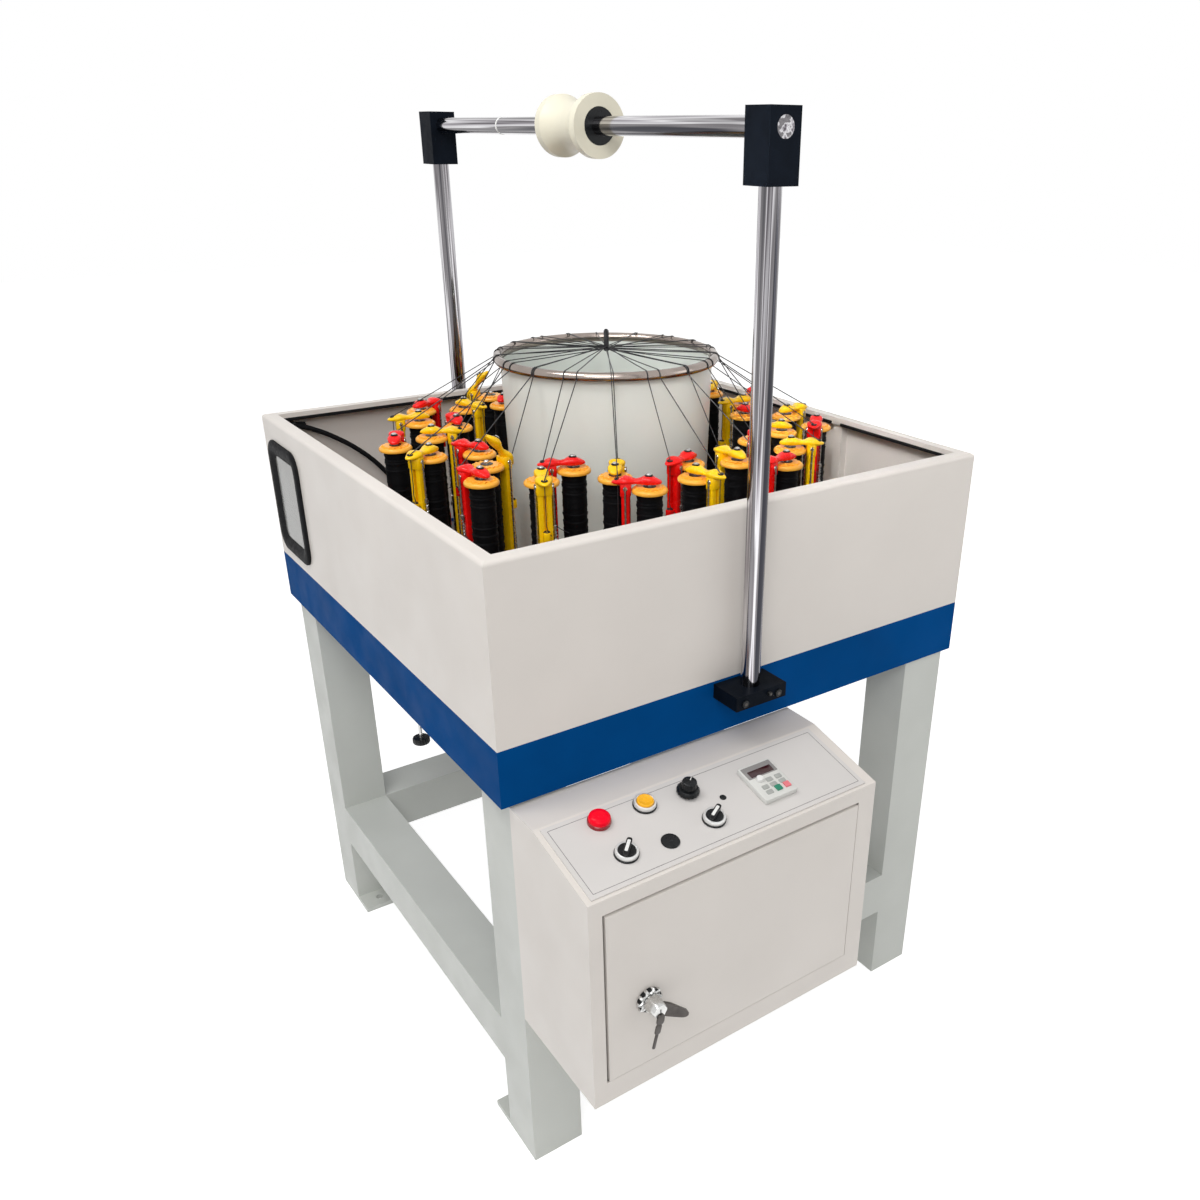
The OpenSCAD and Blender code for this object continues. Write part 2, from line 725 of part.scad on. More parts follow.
module carrier_frame(tint, lift) {
    guide_z = bobbin_z1 - guide_drop;
    post_h = lever_z0 - carrier_base_z0;
    base_back = flange_r * 0.8;
    rod_v = post_w / 2 + rod_r + 0.5;
    color("silver") {
        translate([0, 0, horn_z0]) cylinder(r = pin_r, h = carrier_base_z0 - horn_z0 + 1);
        translate([0, 0, track_z1 + track_gap]) cylinder(r = foot_r, h = carrier_foot_t);
        translate([0, 0, carrier_base_z0]) cylinder(r = spindle_r, h = lever_z0 - carrier_base_z0 + 1);
        for (s = [-1, 1]) translate([post_u, s * rod_v, carrier_base_z0 + 1])
            cylinder(r = rod_r, h = post_h - 1);
    }
    color(tint) {
        translate([-base_back, -rod_v - rod_r - 1, carrier_base_z0])
            cube([base_back + post_u + post_d / 2, 2 * (rod_v + rod_r + 1), carrier_base_t]);
        difference() {
            translate([post_u - post_d / 2, -post_w / 2, carrier_base_z0]) cube([post_d, post_w, post_h]);
            translate([post_u + post_d / 2 - post_groove, -post_w / 4, guide_z + guide_h])
                cube([post_groove + 1, post_w / 2, post_h]);
        }
        translate([post_u, 0, lever_z0]) rotate([0, lift, 0]) translate([-post_u, 0, -lever_z0]) lever();
        difference() {
            translate([post_u, -post_w / 4, guide_z])
                cube([eye_u + eye_boss_r - post_u, post_w / 2, guide_h]);
            translate([eye_u, 0, guide_z - 1]) cylinder(r = eye_r, h = guide_h + 2);
        }
    }
}

// The gear's own X axis points away from the machine's axis. Yellow carriers go round one way, red the other.
module carrier_pair(k) translate(gear_at(k)) rotate(gear_angle(k)) {
    turn = turn_of(k);
    horn_gear(k);
    for (red = [false, true]) {
        rotate(carrier_spin(k, red)) translate([gear_r, 0, 0]) rotate(turn * 90) {
            carrier_frame(red ? "red" : "gold", lever_lift(k, red));
            bobbin();
        }
    }
}

// Drum and braid
module drum() color("whitesmoke") translate([axis_x, 0, track_z1]) difference() {
    cylinder(r1 = drum_foot_r, r2 = drum_top_r, h = drum_h);
    translate([0, 0, drum_t]) cylinder(r1 = drum_foot_r - drum_t, r2 = drum_top_r - drum_t, h = drum_h);
}

module drum_ring() color("silver") translate([axis_x, 0, ring_z_abs]) rotate_extrude() {
    translate([braid_ring_r, 0]) circle(ring_tube_r);
}

module strand_web() color("black") translate([axis_x, 0, web_z]) {
    knot_r = 2 * gear_count * strand_r / PI + 1;
    translate([0, 0, -strand_r]) cylinder(r = knot_r, h = 2 * strand_r + 1);
    cylinder(r = braid_r, h = braid_l);
    for (k = [0 : gear_count - 1], red = [false, true]) rotate(eye_polar(k, red))
        translate([knot_r - 1, 0, 0]) rotate([0, 90, 0])
            cylinder(r = strand_r, h = braid_ring_r - knot_r + 1);
}

// Arch
module arch_blocks() color("#1b2026") for (s = [0, 1]) mirror([0, s, 0]) {
    difference() {
        translate([arch_x - block_w / 2, -arch_y - block_d / 2, skirt_top - block_drop - block_h])
            cube([block_w, block_d, block_h]);
        translate([arch_x, -arch_y, 0]) cylinder(r = arch_post_r + run_gap, h = skirt_top);
    }
    difference() {
        translate([arch_x - corner_w / 2, -arch_y - corner_w / 2, corner_z0])
            cube([corner_w, corner_w, corner_h]);
        translate([arch_x, -arch_y, corner_z0 - 1]) cylinder(r = arch_post_r + run_gap, h = post_seat + 1);
        translate([arch_x, 0, bar_z]) rotate([90, 0, 0]) cylinder(r = bar_r + run_gap, h = arch_y + corner_w);
    }
}

module arch_posts() color("silver") for (s = [-1, 1]) {
    post_z0 = skirt_top - block_drop - block_h;
    translate([arch_x, s * arch_y, post_z0]) cylinder(r = arch_post_r, h = corner_z0 + post_seat - post_z0);
}

module along_bar(from, l, r) {
    translate([arch_x, from, bar_z]) rotate([-90, 0, 0]) cylinder(r = r, h = l);
}

module cross_bar() color("silver") along_bar(-bar_l / 2, bar_l, bar_r);

// The bushes are fixed on the bar. Their collars lie in the pulley's end pockets.
module pulley_bushes() color("black") for (s = [-1, 1]) difference() {
    end = pulley_y + s * pulley_w / 2;
    union() {
        along_bar(s > 0 ? end - collar_t + face_gap : end, collar_t - face_gap, collar_r);
        along_bar(s > 0 ? end - bush_l : end, bush_l, bush_r);
    }
    along_bar(pulley_y - pulley_w, 2 * pulley_w, bar_r + run_gap);
}

module pulley() color("ivory") translate([arch_x, pulley_y, bar_z]) rotate([-90, 0, 0]) rotate_extrude() {
    half = pulley_w / 2;
    mouth = half - pulley_rim;
    dip = pulley_r - groove_r;
    groove_arc = (mouth * mouth + dip * dip) / (2 * dip);
    difference() {
        translate([bush_r + run_gap, -half]) square([pulley_r - bush_r - run_gap, pulley_w]);
        translate([groove_r + groove_arc, 0]) circle(groove_arc, $fn = 200);
        for (s = [0, 1]) mirror([0, s]) translate([0, half - collar_t])
            square([collar_r + face_gap, collar_t + 1]);
    }
}

// Cabinet
module cabinet_shell() color("linen") {
    keeper_back = cam_y - 0.5;
    cabinet_sheet();
    translate([cab_x0 + keeper_in, cab_front + 1, lock_pos[1] - keeper_h / 2])
        cube([door_left - door_seam - keeper_in - 2, keeper_back - cab_front - 1, keeper_h]);
}

module cabinet_sheet() difference() {
    inner_lip = cab_lip_z + cab_t * tan(panel_tilt) - cab_t / cos(panel_tilt);
    inner_bend = cab_front + (cab_top - cab_t - cab_lip_z + cab_t / cos(panel_tilt)) / tan(panel_tilt);
    translate([cab_x0, 0, 0]) rotate([90, 0, 90]) linear_extrude(cab_w) polygon([
        [cab_back, cab_z], [cab_front, cab_z], [cab_front, cab_lip_z],
        [cab_back - cab_flat_d, cab_top], [cab_back, cab_top]
    ]);
    translate([cab_x0 + cab_t, 0, 0]) rotate([90, 0, 90]) linear_extrude(cab_w - 2 * cab_t) polygon([
        [cab_back - cab_t, cab_z + cab_t], [cab_front + cab_t, cab_z + cab_t], [cab_front + cab_t, inner_lip],
        [inner_bend, cab_top - cab_t], [cab_back - cab_t, cab_top - cab_t]
    ]);
    translate([door_x0 - door_seam, cab_front - 1, door_z0 - door_seam])
        cube([door_w + 2 * door_seam, cab_t + 2, door_h + 2 * door_seam]);
    panel_holes();
}

module panel_holes() {
    for (p = [lamp_at, button_at, selector_left_at, selector_right_at, plug_at]) {
        on_panel(p, -10) cylinder(r = barrel_r + panel_gap, h = 20);
    }
    on_panel(knob_at, -10) cylinder(r = pot_bush_r + panel_gap, h = 20);
}

module control_panel() color("ghostwhite") difference() {
    on_panel([panel_left, panel_edge])
        cube([cab_w - panel_left - panel_right, slope_l - 2 * panel_edge, panel_t]);
    panel_holes();
}

module bezel(depth) difference() {
    union() {
        translate([0, 0, panel_t]) cylinder(r = bezel_r, h = bezel_h);
        translate([0, 0, -barrel_l]) cylinder(r = barrel_r, h = barrel_l + panel_t + 1);
    }
    translate([0, 0, panel_t + bezel_h - depth]) cylinder(r = insert_r + run_gap, h = depth + 1);
}

module control_bezels() color("silver") {
    for (p = [lamp_at, button_at, selector_left_at, selector_right_at]) on_panel(p) bezel(bezel_bore);
    on_panel(knob_at) difference() {
        union() {
            translate([0, 0, -pot_body_l / 2])
                cylinder(r = pot_bush_r, h = pot_body_l / 2 + panel_t + pot_bush_h);
            translate([0, 0, -pot_body_l - cab_t]) cylinder(r = pot_body_r, h = pot_body_l);
        }
        translate([0, 0, -pot_shaft_l - 2]) cylinder(r = pot_shaft_r + run_gap, h = 2 * pot_shaft_l);
    }
}

module power_lamp() color("red") on_panel(lamp_at, panel_t + bezel_h - insert_l) {
    cylinder(r = insert_r, h = insert_l);
    translate([0, 0, insert_l]) cylinder(r = bezel_r - lamp_step, h = lamp_h);
}

module start_button() color("gold") on_panel(button_at, panel_t + bezel_h - insert_l) {
    cylinder(r = insert_r, h = insert_l + button_h);
}

module selector() {
    translate([0, 0, panel_t + bezel_h - insert_l])
        cylinder(r = insert_r, h = insert_l + face_gap + handle_h / 4);
    rotate(selector_rest) translate([-handle_w / 2, -handle_l / 2, panel_t + bezel_h + face_gap])
        cube([handle_w, handle_l, handle_h]);
}

module selector_left() color("black") on_panel(selector_left_at) selector();

module selector_right() color("black") on_panel(selector_right_at) selector();

module speed_knob() color("black") on_panel(knob_at) {
    knob_z = panel_t + pot_bush_h + face_gap;
    translate([0, 0, -pot_shaft_l]) cylinder(r = pot_shaft_r, h = pot_shaft_l + knob_z + 1);
    translate([0, 0, knob_z]) cylinder(r = knob_r, h = knob_h * 0.3);
    translate([0, 0, knob_z]) cylinder(r = knob_r * 0.72, h = knob_h);
}

module panel_plug() color("black") on_panel(plug_at) {
    translate([0, 0, panel_t]) cylinder(r = barrel_r + plug_lip, h = plug_h);
    translate([0, 0, -plug_l]) cylinder(r = barrel_r, h = plug_l + panel_t + plug_h / 2);
}

module on_keypad(off, lift) on_panel(keypad_at + off, panel_t + lift) children();

module keypad_body() color("lightgray") difference() {
    on_keypad([0, 0], 0) translate([-keypad_w / 2, -keypad_l / 2, 0]) cube([keypad_w, keypad_l, keypad_t]);
    on_keypad(dial_off, key_floor - 1) cylinder(r = dial_shaft_r + run_gap, h = keypad_t);
    for (o = [run_off, stop_off]) on_keypad(o, key_floor)
        translate([-key_w / 2 - face_gap, -key_w / 2 - face_gap, 0])
            cube([key_w + 2 * face_gap, key_w + 2 * face_gap, keypad_t]);
}

module keypad_dial() color("white") {
    on_keypad(dial_off, key_floor) cylinder(r = dial_shaft_r, h = keypad_t - key_floor + 1);
    on_keypad(dial_off, keypad_t + face_gap) cylinder(r = dial_r, h = dial_h);
}

module keypad_key(off) on_keypad(off, key_floor + key_travel + face_gap) translate([-key_w / 2, -key_w / 2, 0])
    cube([key_w, key_w, keypad_t - key_floor - key_travel - face_gap + key_h]);

module keypad_run_key() color("seagreen") keypad_key(run_off);

module keypad_stop_key() color("firebrick") keypad_key(stop_off);

module cabinet_door() color("linen") difference() {
    union() {
        difference() {
            translate([door_x0, door_face, door_z0]) cube([door_w, door_pan, door_h]);
            translate([door_x0 + door_t, door_face + door_t, door_z0 + door_t])
                cube([door_w - 2 * door_t, door_pan, door_h - 2 * door_t]);
        }
        for (z = [door_z0, door_z1 - hinge_block]) translate([door_x1 - 2 * hinge_in, door_face, z])
            cube([2 * hinge_in, door_pan, hinge_block]);
    }
    translate([hinge_x, hinge_y, door_z0 - 1]) cylinder(r = hinge_pin_r + run_gap, h = door_h + 2);
    from_lock(-1, door_t + 2, lock_barrel_r + panel_gap);
}

module door_hinge_pins() color("silver") for (s = [0, 1]) {
    lug_z = s == 0 ? door_z0 - door_seam - lug_h : door_z1 + door_seam;
    pin_z = s == 0 ? lug_z + 1 : door_z1 - hinge_block + 2;
    translate([hinge_x - hinge_in, cab_front + cab_t, lug_z]) cube([2 * hinge_in, lug_d, lug_h]);
    translate([hinge_x, hinge_y, pin_z]) cylinder(r = hinge_pin_r, h = lug_h + door_seam + hinge_block - 3);
}

module from_lock(y, l, r) {
    translate([lock_pos[0], door_face + y, lock_pos[1]]) rotate([-90, 0, 0]) cylinder(r = r, h = l);
}

module lock_body() color("silver") difference() {
    union() {
        from_lock(-rosette_t, rosette_t, rosette_r);
        from_lock(-1, door_t + 9, lock_barrel_r);
    }
    from_lock(-rosette_t - 1, 60, lock_shaft_r + run_gap);
}

// The wing points to the right. The cam behind the door points down, clear of the opening's frame.
module lock_handle() color("gray") {
    wing_y = -rosette_t - face_gap - wing_t;
    from_lock(wing_y, cam_y + cam_t - door_face - wing_y, lock_shaft_r);
    from_lock(wing_y, wing_t, wing_hub_r);
    translate([lock_pos[0], door_face + wing_y, lock_pos[1]]) rotate([0, wing_droop, 0])
        translate([0, wing_step, -wing_w / 2]) cube([wing_l, wing_t - 2 * wing_step, wing_w]);
    translate([lock_pos[0] - cam_w / 2, cam_y, lock_pos[1] - cam_l]) cube([cam_w, cam_t, cam_l + cam_w / 2]);
}

// Drive and fittings
module inverter() color("dimgray") {
    translate([cab_x0 + inverter_at[0], cab_back - cab_t - inverter_d, cab_z + inverter_at[1]])
        cube([inverter_w, inverter_d, inverter_h]);
}

module drive_motor() color("steelblue") translate(pinion_at() + [0, 0, base_z0]) difference() {
    union() {
        translate([-motor_flange_w / 2, -motor_flange_w / 2, -motor_flange_t])
            cube([motor_flange_w, motor_flange_w, motor_flange_t]);
        translate([0, 0, -motor_flange_t - motor_l]) cylinder(r = motor_r, h = motor_l);
    }
    translate([0, 0, -drive_shaft_l - 6]) cylinder(r = stud_r + run_gap, h = drive_shaft_l + 7);
}

module drive_pinion() color("silver") translate(pinion_at()) {
    translate([0, 0, gear_z0]) rotate(gear_angle(drive_gear))
        linear_extrude(gear_t) toothed(pinion_r, pinion_teeth, 0);
    translate([0, 0, base_z0 - drive_shaft_l]) cylinder(r = stud_r, h = gear_z0 - base_z0 + drive_shaft_l + 1);
}

module adjuster_knob() color("black") translate([adjuster_x, adjuster_y, skirt_z]) {
    translate([0, 0, -adjuster_l]) cylinder(r = rod_adjust_r, h = adjuster_l + seat_t - 1);
    translate([0, 0, -adjuster_l - adjuster_t]) cylinder(r = adjuster_r, h = adjuster_t);
}

// A tube of rings square to the route, which lies in a plane of constant y
module sensor_cable() color("black") {
    last = len(cable_route) - 1;
    ring = [for (i = [0 : last], j = [0 : cable_sides - 1])
        let (d = cable_route[min(i + 1, last)] - cable_route[max(i - 1, 0)])
        let (n = (i == 0 ? [0, 1] : i == last ? [1, 0] : [-d[1], d[0]] / norm(d)))
        let (a = j * 360 / cable_sides)
        let (p = cable_route[i] + cable_r * cos(a) * n)
        [p[0], cable_y + cable_r * sin(a), p[1]]];
    walls = [for (i = [0 : last - 1], j = [0 : cable_sides - 1])
        let (p = i * cable_sides + j)
        let (q = i * cable_sides + (j + 1) % cable_sides)
        each [[p, q, q + cable_sides], [p, q + cable_sides, p + cable_sides]]];
    near_cap = [for (j = [cable_sides - 1 : -1 : 0]) j];
    far_cap = [for (j = [0 : cable_sides - 1]) last * cable_sides + j];
    polyhedron(ring, concat(walls, [near_cap], [far_cap]));
    translate([cable_route[0][0] - connector[0], table_d / 2 - guard_t - connector[1],
        cable_route[0][1] - connector[2] / 2])
        cube(connector);
    translate([cable_route[last][0], cable_y, track_z1]) cylinder(r = gland_r, h = gland_h);
}

function pair_name(k) = str("carrier_pair_", k < 10 ? "0" : "", k);

legs();
stretchers();
table_skirt();
base_plate();
track_plates();
track_quoits();
guard_front();
guard_back();
guard_left();
guard_right();
window_gasket();
window_pane();
drum();
drum_ring();
strand_web();
arch_blocks();
arch_posts();
cross_bar();
pulley_bushes();
pulley();
cabinet_shell();
control_panel();
control_bezels();
power_lamp();
start_button();
selector_left();
selector_right();
speed_knob();
panel_plug();
keypad_body();
keypad_dial();
keypad_run_key();
keypad_stop_key();
cabinet_door();
door_hinge_pins();
lock_body();
lock_handle();
inverter();
drive_motor();
drive_pinion();
adjuster_knob();
sensor_cable();
for (k = [1 : gear_count]) carrier_pair(k - 1);
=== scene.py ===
"""Wire braiding machine: the looks of the part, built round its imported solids. Metres, +Z up."""
import json
import math
import random

import bmesh
import bpy
from mathutils import Matrix, Vector


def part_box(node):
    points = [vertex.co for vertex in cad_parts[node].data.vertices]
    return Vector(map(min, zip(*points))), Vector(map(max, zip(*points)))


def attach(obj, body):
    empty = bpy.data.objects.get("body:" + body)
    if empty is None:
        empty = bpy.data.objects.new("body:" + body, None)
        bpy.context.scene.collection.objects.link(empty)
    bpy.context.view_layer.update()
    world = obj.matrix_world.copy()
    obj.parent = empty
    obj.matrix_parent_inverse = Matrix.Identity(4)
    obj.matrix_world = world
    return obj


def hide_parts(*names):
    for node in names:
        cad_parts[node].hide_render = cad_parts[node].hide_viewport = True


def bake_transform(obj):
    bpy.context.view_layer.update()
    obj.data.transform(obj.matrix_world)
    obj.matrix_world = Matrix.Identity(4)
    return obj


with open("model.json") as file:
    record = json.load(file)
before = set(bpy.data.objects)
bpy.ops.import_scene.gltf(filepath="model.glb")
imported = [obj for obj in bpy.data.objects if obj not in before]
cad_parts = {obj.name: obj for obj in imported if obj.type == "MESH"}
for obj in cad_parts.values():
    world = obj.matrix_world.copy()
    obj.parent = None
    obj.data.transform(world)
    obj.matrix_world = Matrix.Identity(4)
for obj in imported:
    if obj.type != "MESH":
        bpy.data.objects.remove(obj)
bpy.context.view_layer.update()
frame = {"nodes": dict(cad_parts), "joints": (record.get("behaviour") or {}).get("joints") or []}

NODES = frame["nodes"]
JOINTS = {j["name"]: j for j in frame["joints"]}
SCENE = bpy.context.scene
SCENE.view_settings.view_transform = "Standard"
random.seed(7)

# Camera, at the photograph's viewing angle
CAMERA_AT = (-0.9075, -1.5046, 1.4660)
CAMERA_TURN = (64.05, -0.53, -35.56)
CAMERA_SENSOR, CAMERA_LENS = 36, 31.95
CAMERA_SHIFT = (-0.0698, 0.0423)
CAMERA_REACH = 100

camera_data = bpy.data.cameras.new("camera")
camera_data.sensor_width = CAMERA_SENSOR
camera_data.lens = CAMERA_LENS
camera_data.shift_x, camera_data.shift_y = CAMERA_SHIFT
camera_data.clip_end = CAMERA_REACH
camera = bpy.data.objects.new("camera", camera_data)
camera.location = CAMERA_AT
camera.rotation_euler = [math.radians(a) for a in CAMERA_TURN]
SCENE.collection.objects.link(camera)
SCENE.camera = camera

# Main measures, the same as in the solids
GEAR_COUNT = 18
GEAR_R = 0.052
GEAR_TEETH, GEAR_SHIFT = 27, 100
GEAR_Z0, GEAR_Z1 = 0.7003, 0.7163
HORN_Z0, HORN_Z1 = 0.727, 0.735
HORN_R = 0.0514
HUB_R = 0.022
CARRIER_PHASE = 17
PIN_R, PIN_PLAY = 0.0055, 0.0005
FOOT_R = 0.018
FOOT_Z0, FOOT_Z1 = 0.7575, 0.7645
BASE_L, BASE_W, BASE_U = 0.0595, 0.031, 0.0093
BASE_Z0, BASE_Z1 = 0.803, 0.815
BOBBIN_Z0, YARN_Z0, YARN_Z1, FLANGE_Z1, BOBBIN_Z1 = 0.8153, 0.8203, 1.0173, 1.0223, 1.0263
FLANGE_R = 0.0255
YARN_R = 0.0185
SPINDLE_R = 0.004
LEVER_Z0 = 1.0287
LATCH_LIFT = 48
OPEN_LATCHES = (10, 15)
POST_U, POST_D, POST_W = 0.033, 0.012, 0.020
HEAD_D, HEAD_W = 0.0150, 0.0225
ROD_V, ROD_R = 0.0125, 0.0015
EYE_U, EYE_Z = 0.044, LEVER_Z0 + 0.0080
GUIDE_L, GUIDE_W, GUIDE_U = 0.0170, 0.0100, 0.0415
GUIDE_Z0, GUIDE_Z1 = 0.9483, 0.9623
AXIS_X = (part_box("drum")[0].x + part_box("drum")[1].x) / 2
RING_R, RING_TUBE_R, RING_Z = 0.1745, 0.0075, 1.140
STRAND_R = 0.0008
THREAD_SHARE, BRAID_SHARE = 0.8, 1.1
ARCH_X, _, BAR_Z = JOINTS["pulley_turn"]["pos_m"]
CAB_X0, CAB_FRONT, CAB_LIP = -0.411, -0.6265, 0.638
PANEL_RISE, PANEL_RUN = 32, 133.5
PANEL_T = 0.002

# Materials
NOISE_LOW, NOISE_HIGH = 0.3, 0.7
COAT_ROUGH = 0.12
GRAIN_STRENGTH = 0.25


def shader(name):
    m = bpy.data.materials.new(name)
    m.use_nodes = True
    return m, m.node_tree, m.node_tree.nodes["Principled BSDF"]


def set_inputs(node, values):
    for name, value in values.items():
        node.inputs[name].default_value = value


def noise(tree, scale, detail=4.0, stretch=(1, 1, 1)):
    coords = tree.nodes.new("ShaderNodeTexCoord")
    mapping = tree.nodes.new("ShaderNodeMapping")
    set_inputs(mapping, {"Scale": stretch})
    texture = tree.nodes.new("ShaderNodeTexNoise")
    set_inputs(texture, {"Scale": scale, "Detail": detail})
    tree.links.new(coords.outputs["Object"], mapping.inputs["Vector"])
    tree.links.new(mapping.outputs["Vector"], texture.inputs["Vector"])
    return texture.outputs["Fac"]


def ramp(tree, source, stops):
    node = tree.nodes.new("ShaderNodeValToRGB")
    while len(node.color_ramp.elements) < len(stops):
        node.color_ramp.elements.new(0.5)
    for element, (at, color) in zip(node.color_ramp.elements, stops):
        element.position = at
        element.color = (*color, 1)
    tree.links.new(source, node.inputs["Fac"])
    return node.outputs["Color"]


def spread(tree, source, low, high):
    node = tree.nodes.new("ShaderNodeMapRange")
    set_inputs(node, {"From Min": NOISE_LOW, "From Max": NOISE_HIGH, "To Min": low, "To Max": high})
    tree.links.new(source, node.inputs["Value"])
    return node.outputs["Result"]


def bumped(tree, bsdf, height, strength, distance):
    node = tree.nodes.new("ShaderNodeBump")
    set_inputs(node, {"Strength": strength, "Distance": distance})
    tree.links.new(height, node.inputs["Height"])
    tree.links.new(node.outputs["Normal"], bsdf.inputs["Normal"])


def shade(color, amount):
    return tuple(min(1.0, c * amount) for c in color)


def surface(name, color, rough, metallic=0.0, tint=0.06, tint_scale=14, grain=900, grain_depth=0.00004,
            coat=0.0, specular=0.5, ior=1.45):
    """A finish with drifting colour, uneven gloss and a fine grain."""
    m, tree, bsdf = shader(name)
    set_inputs(bsdf, {"Metallic": metallic, "Specular IOR Level": specular, "IOR": ior, "Coat Weight": coat,
                      "Coat Roughness": COAT_ROUGH})
    drift = noise(tree, tint_scale, 5)
    stops = [(NOISE_LOW, shade(color, 1 - tint)), (NOISE_HIGH, shade(color, 1 + tint))]
    tree.links.new(ramp(tree, drift, stops), bsdf.inputs["Base Color"])
    tree.links.new(spread(tree, noise(tree, tint_scale * 3, 6), rough * 0.8, rough * 1.2),
                   bsdf.inputs["Roughness"])
    bumped(tree, bsdf, noise(tree, grain, 2), GRAIN_STRENGTH, grain_depth)
    return m


CREAM = surface("cream_paint", (0.70, 0.655, 0.61), 0.42, tint=0.03, tint_scale=5, grain=700, coat=0.15)
BLUE = surface("blue_paint", (0.0, 0.060, 0.225), 0.52, tint=0.12, tint_scale=6, grain=700, specular=0.2,
               ior=1.12)
STAND = surface("stand_paint", (0.56, 0.575, 0.54), 0.45, tint=0.04, tint_scale=6, grain=600, coat=0.1)
DRUM = surface("drum_paint", (0.75, 0.78, 0.735), 0.40, tint=0.04, tint_scale=6, grain=600, coat=0.15)
STEEL = surface("bright_steel", (0.60, 0.60, 0.59), 0.26, 1.0, tint=0.12, tint_scale=60, grain=1200)
SATIN = surface("satin_ring", (0.78, 0.78, 0.77), 0.34, 0.7, tint=0.06, tint_scale=80, grain=1500)
DARK_STEEL = surface("dark_steel", (0.085, 0.078, 0.074), 0.34, 1.0, tint=0.18, tint_scale=80, grain=1200)
RING = surface("ring_steel", (0.34, 0.29, 0.26), 0.20, 1.0, tint=0.16, tint_scale=24, grain=900)
MACHINED = surface("machined_steel", (0.34, 0.34, 0.34), 0.40, 1.0, tint=0.15, tint_scale=20, grain=1500,
                   grain_depth=0.00008)
BLOCK = surface("blackened_block", (0.004, 0.006, 0.010), 0.45, tint=0.30, tint_scale=25, grain=900,
                specular=0.1, ior=1.25)
IVORY = surface("ivory_plastic", (0.71, 0.675, 0.545), 0.38, tint=0.04, tint_scale=20, grain=900)
RUBBER = surface("black_rubber", (0.010, 0.010, 0.011), 0.55, tint=0.25, tint_scale=60, grain=1600,
                 grain_depth=0.00008, specular=0.18, ior=1.25)
BLACK = surface("black_plastic", (0.007, 0.008, 0.009), 0.30, tint=0.25, tint_scale=50, grain=1500,
                specular=0.3)
YELLOW = surface("yellow_plastic", (0.97, 0.575, 0.002), 0.26, tint=0.04, tint_scale=40, grain=700, coat=0.1,
                 specular=0.35)
RED = surface("red_plastic", (0.86, 0.006, 0.005), 0.26, tint=0.07, tint_scale=40, grain=700, coat=0.1,
              specular=0.3)
ORANGE = surface("orange_plastic", (0.95, 0.44, 0.045), 0.32, tint=0.05, tint_scale=60, grain=900,
                 specular=0.4)
PANEL = surface("panel_plate", (0.635, 0.61, 0.59), 0.36, tint=0.02, tint_scale=8, grain=1200)
LINE = surface("panel_line", (0.20, 0.19, 0.19), 0.50, tint=0.10, tint_scale=60)
PAD = surface("pad_plastic", (0.66, 0.66, 0.63), 0.40, tint=0.03, tint_scale=60)
PAD_DARK = surface("pad_face", (0.25, 0.24, 0.235), 0.40, tint=0.05, tint_scale=60)
PAD_KEY = surface("pad_key", (0.38, 0.39, 0.37), 0.45, tint=0.05, tint_scale=80)
WHITE = surface("white_plastic", (0.80, 0.80, 0.78), 0.35, tint=0.03, tint_scale=80)
GREEN = surface("green_key", (0.015, 0.22, 0.13), 0.35, tint=0.10, tint_scale=80)
PINK = surface("red_key", (0.80, 0.20, 0.23), 0.40, tint=0.06, tint_scale=80)
DISPLAY = surface("display_lens", (0.035, 0.006, 0.009), 0.14, tint=0.20, tint_scale=60, coat=0.5)
LAMP = surface("lamp_lens", (0.93, 0.0, 0.018), 0.24, tint=0.05, tint_scale=60, specular=0.3, ior=1.3)
LAMP_RIM = surface("lamp_rim", (0.26, 0.002, 0.006), 0.30, tint=0.10, tint_scale=60, coat=0.3)
AMBER = surface("amber_cap", (0.93, 0.45, 0.002), 0.28, tint=0.05, tint_scale=60, coat=0.3)
DRIVE = surface("motor_paint", (0.10, 0.14, 0.19), 0.45, tint=0.12, tint_scale=20, grain=900)
CASE = surface("inverter_case", (0.11, 0.115, 0.12), 0.5, tint=0.10, tint_scale=40, grain=900)


def yarn_material():
    """Dark yarn in close turns, each turn a little proud, with a soft sheen."""
    m, tree, bsdf = shader("dark_yarn")
    coords = tree.nodes.new("ShaderNodeTexCoord")
    turns = tree.nodes.new("ShaderNodeTexWave")
    turns.bands_direction = "Z"
    set_inputs(turns, {"Scale": 260, "Distortion": 1.6, "Detail": 2, "Detail Scale": 1.5})
    tree.links.new(coords.outputs["Object"], turns.inputs["Vector"])
    # Painted shade: the base colour follows the turns, darker in the grooves between them and lighter on
    # their crowns
    stops = [(0.1, (0.001, 0.001, 0.0015)), (0.9, (0.007, 0.007, 0.008))]
    tree.links.new(ramp(tree, turns.outputs["Fac"], stops), bsdf.inputs["Base Color"])
    tree.links.new(spread(tree, noise(tree, 300), 0.45, 0.65), bsdf.inputs["Roughness"])
    set_inputs(bsdf, {"Specular IOR Level": 0.2, "IOR": 1.25, "Sheen Weight": 0.01})
    bumped(tree, bsdf, turns.outputs["Fac"], 0.6, 0.0004)
    return m


# Painted reflection: dark and bright bands of base colour, streaked along the rods
PAINTED_REFLECTION_STOPS = [(0.34, (0.05, 0.05, 0.06)), (0.42, (0.24, 0.23, 0.24)), (0.47, (0.17, 0.16, 0.17)),
                (0.52, (0.76, 0.75, 0.77)), (0.57, (0.40, 0.38, 0.41)), (0.63, (0.08, 0.07, 0.08)),
                (0.70, (0.44, 0.43, 0.45))]
STREAK_STRETCH = 0.015


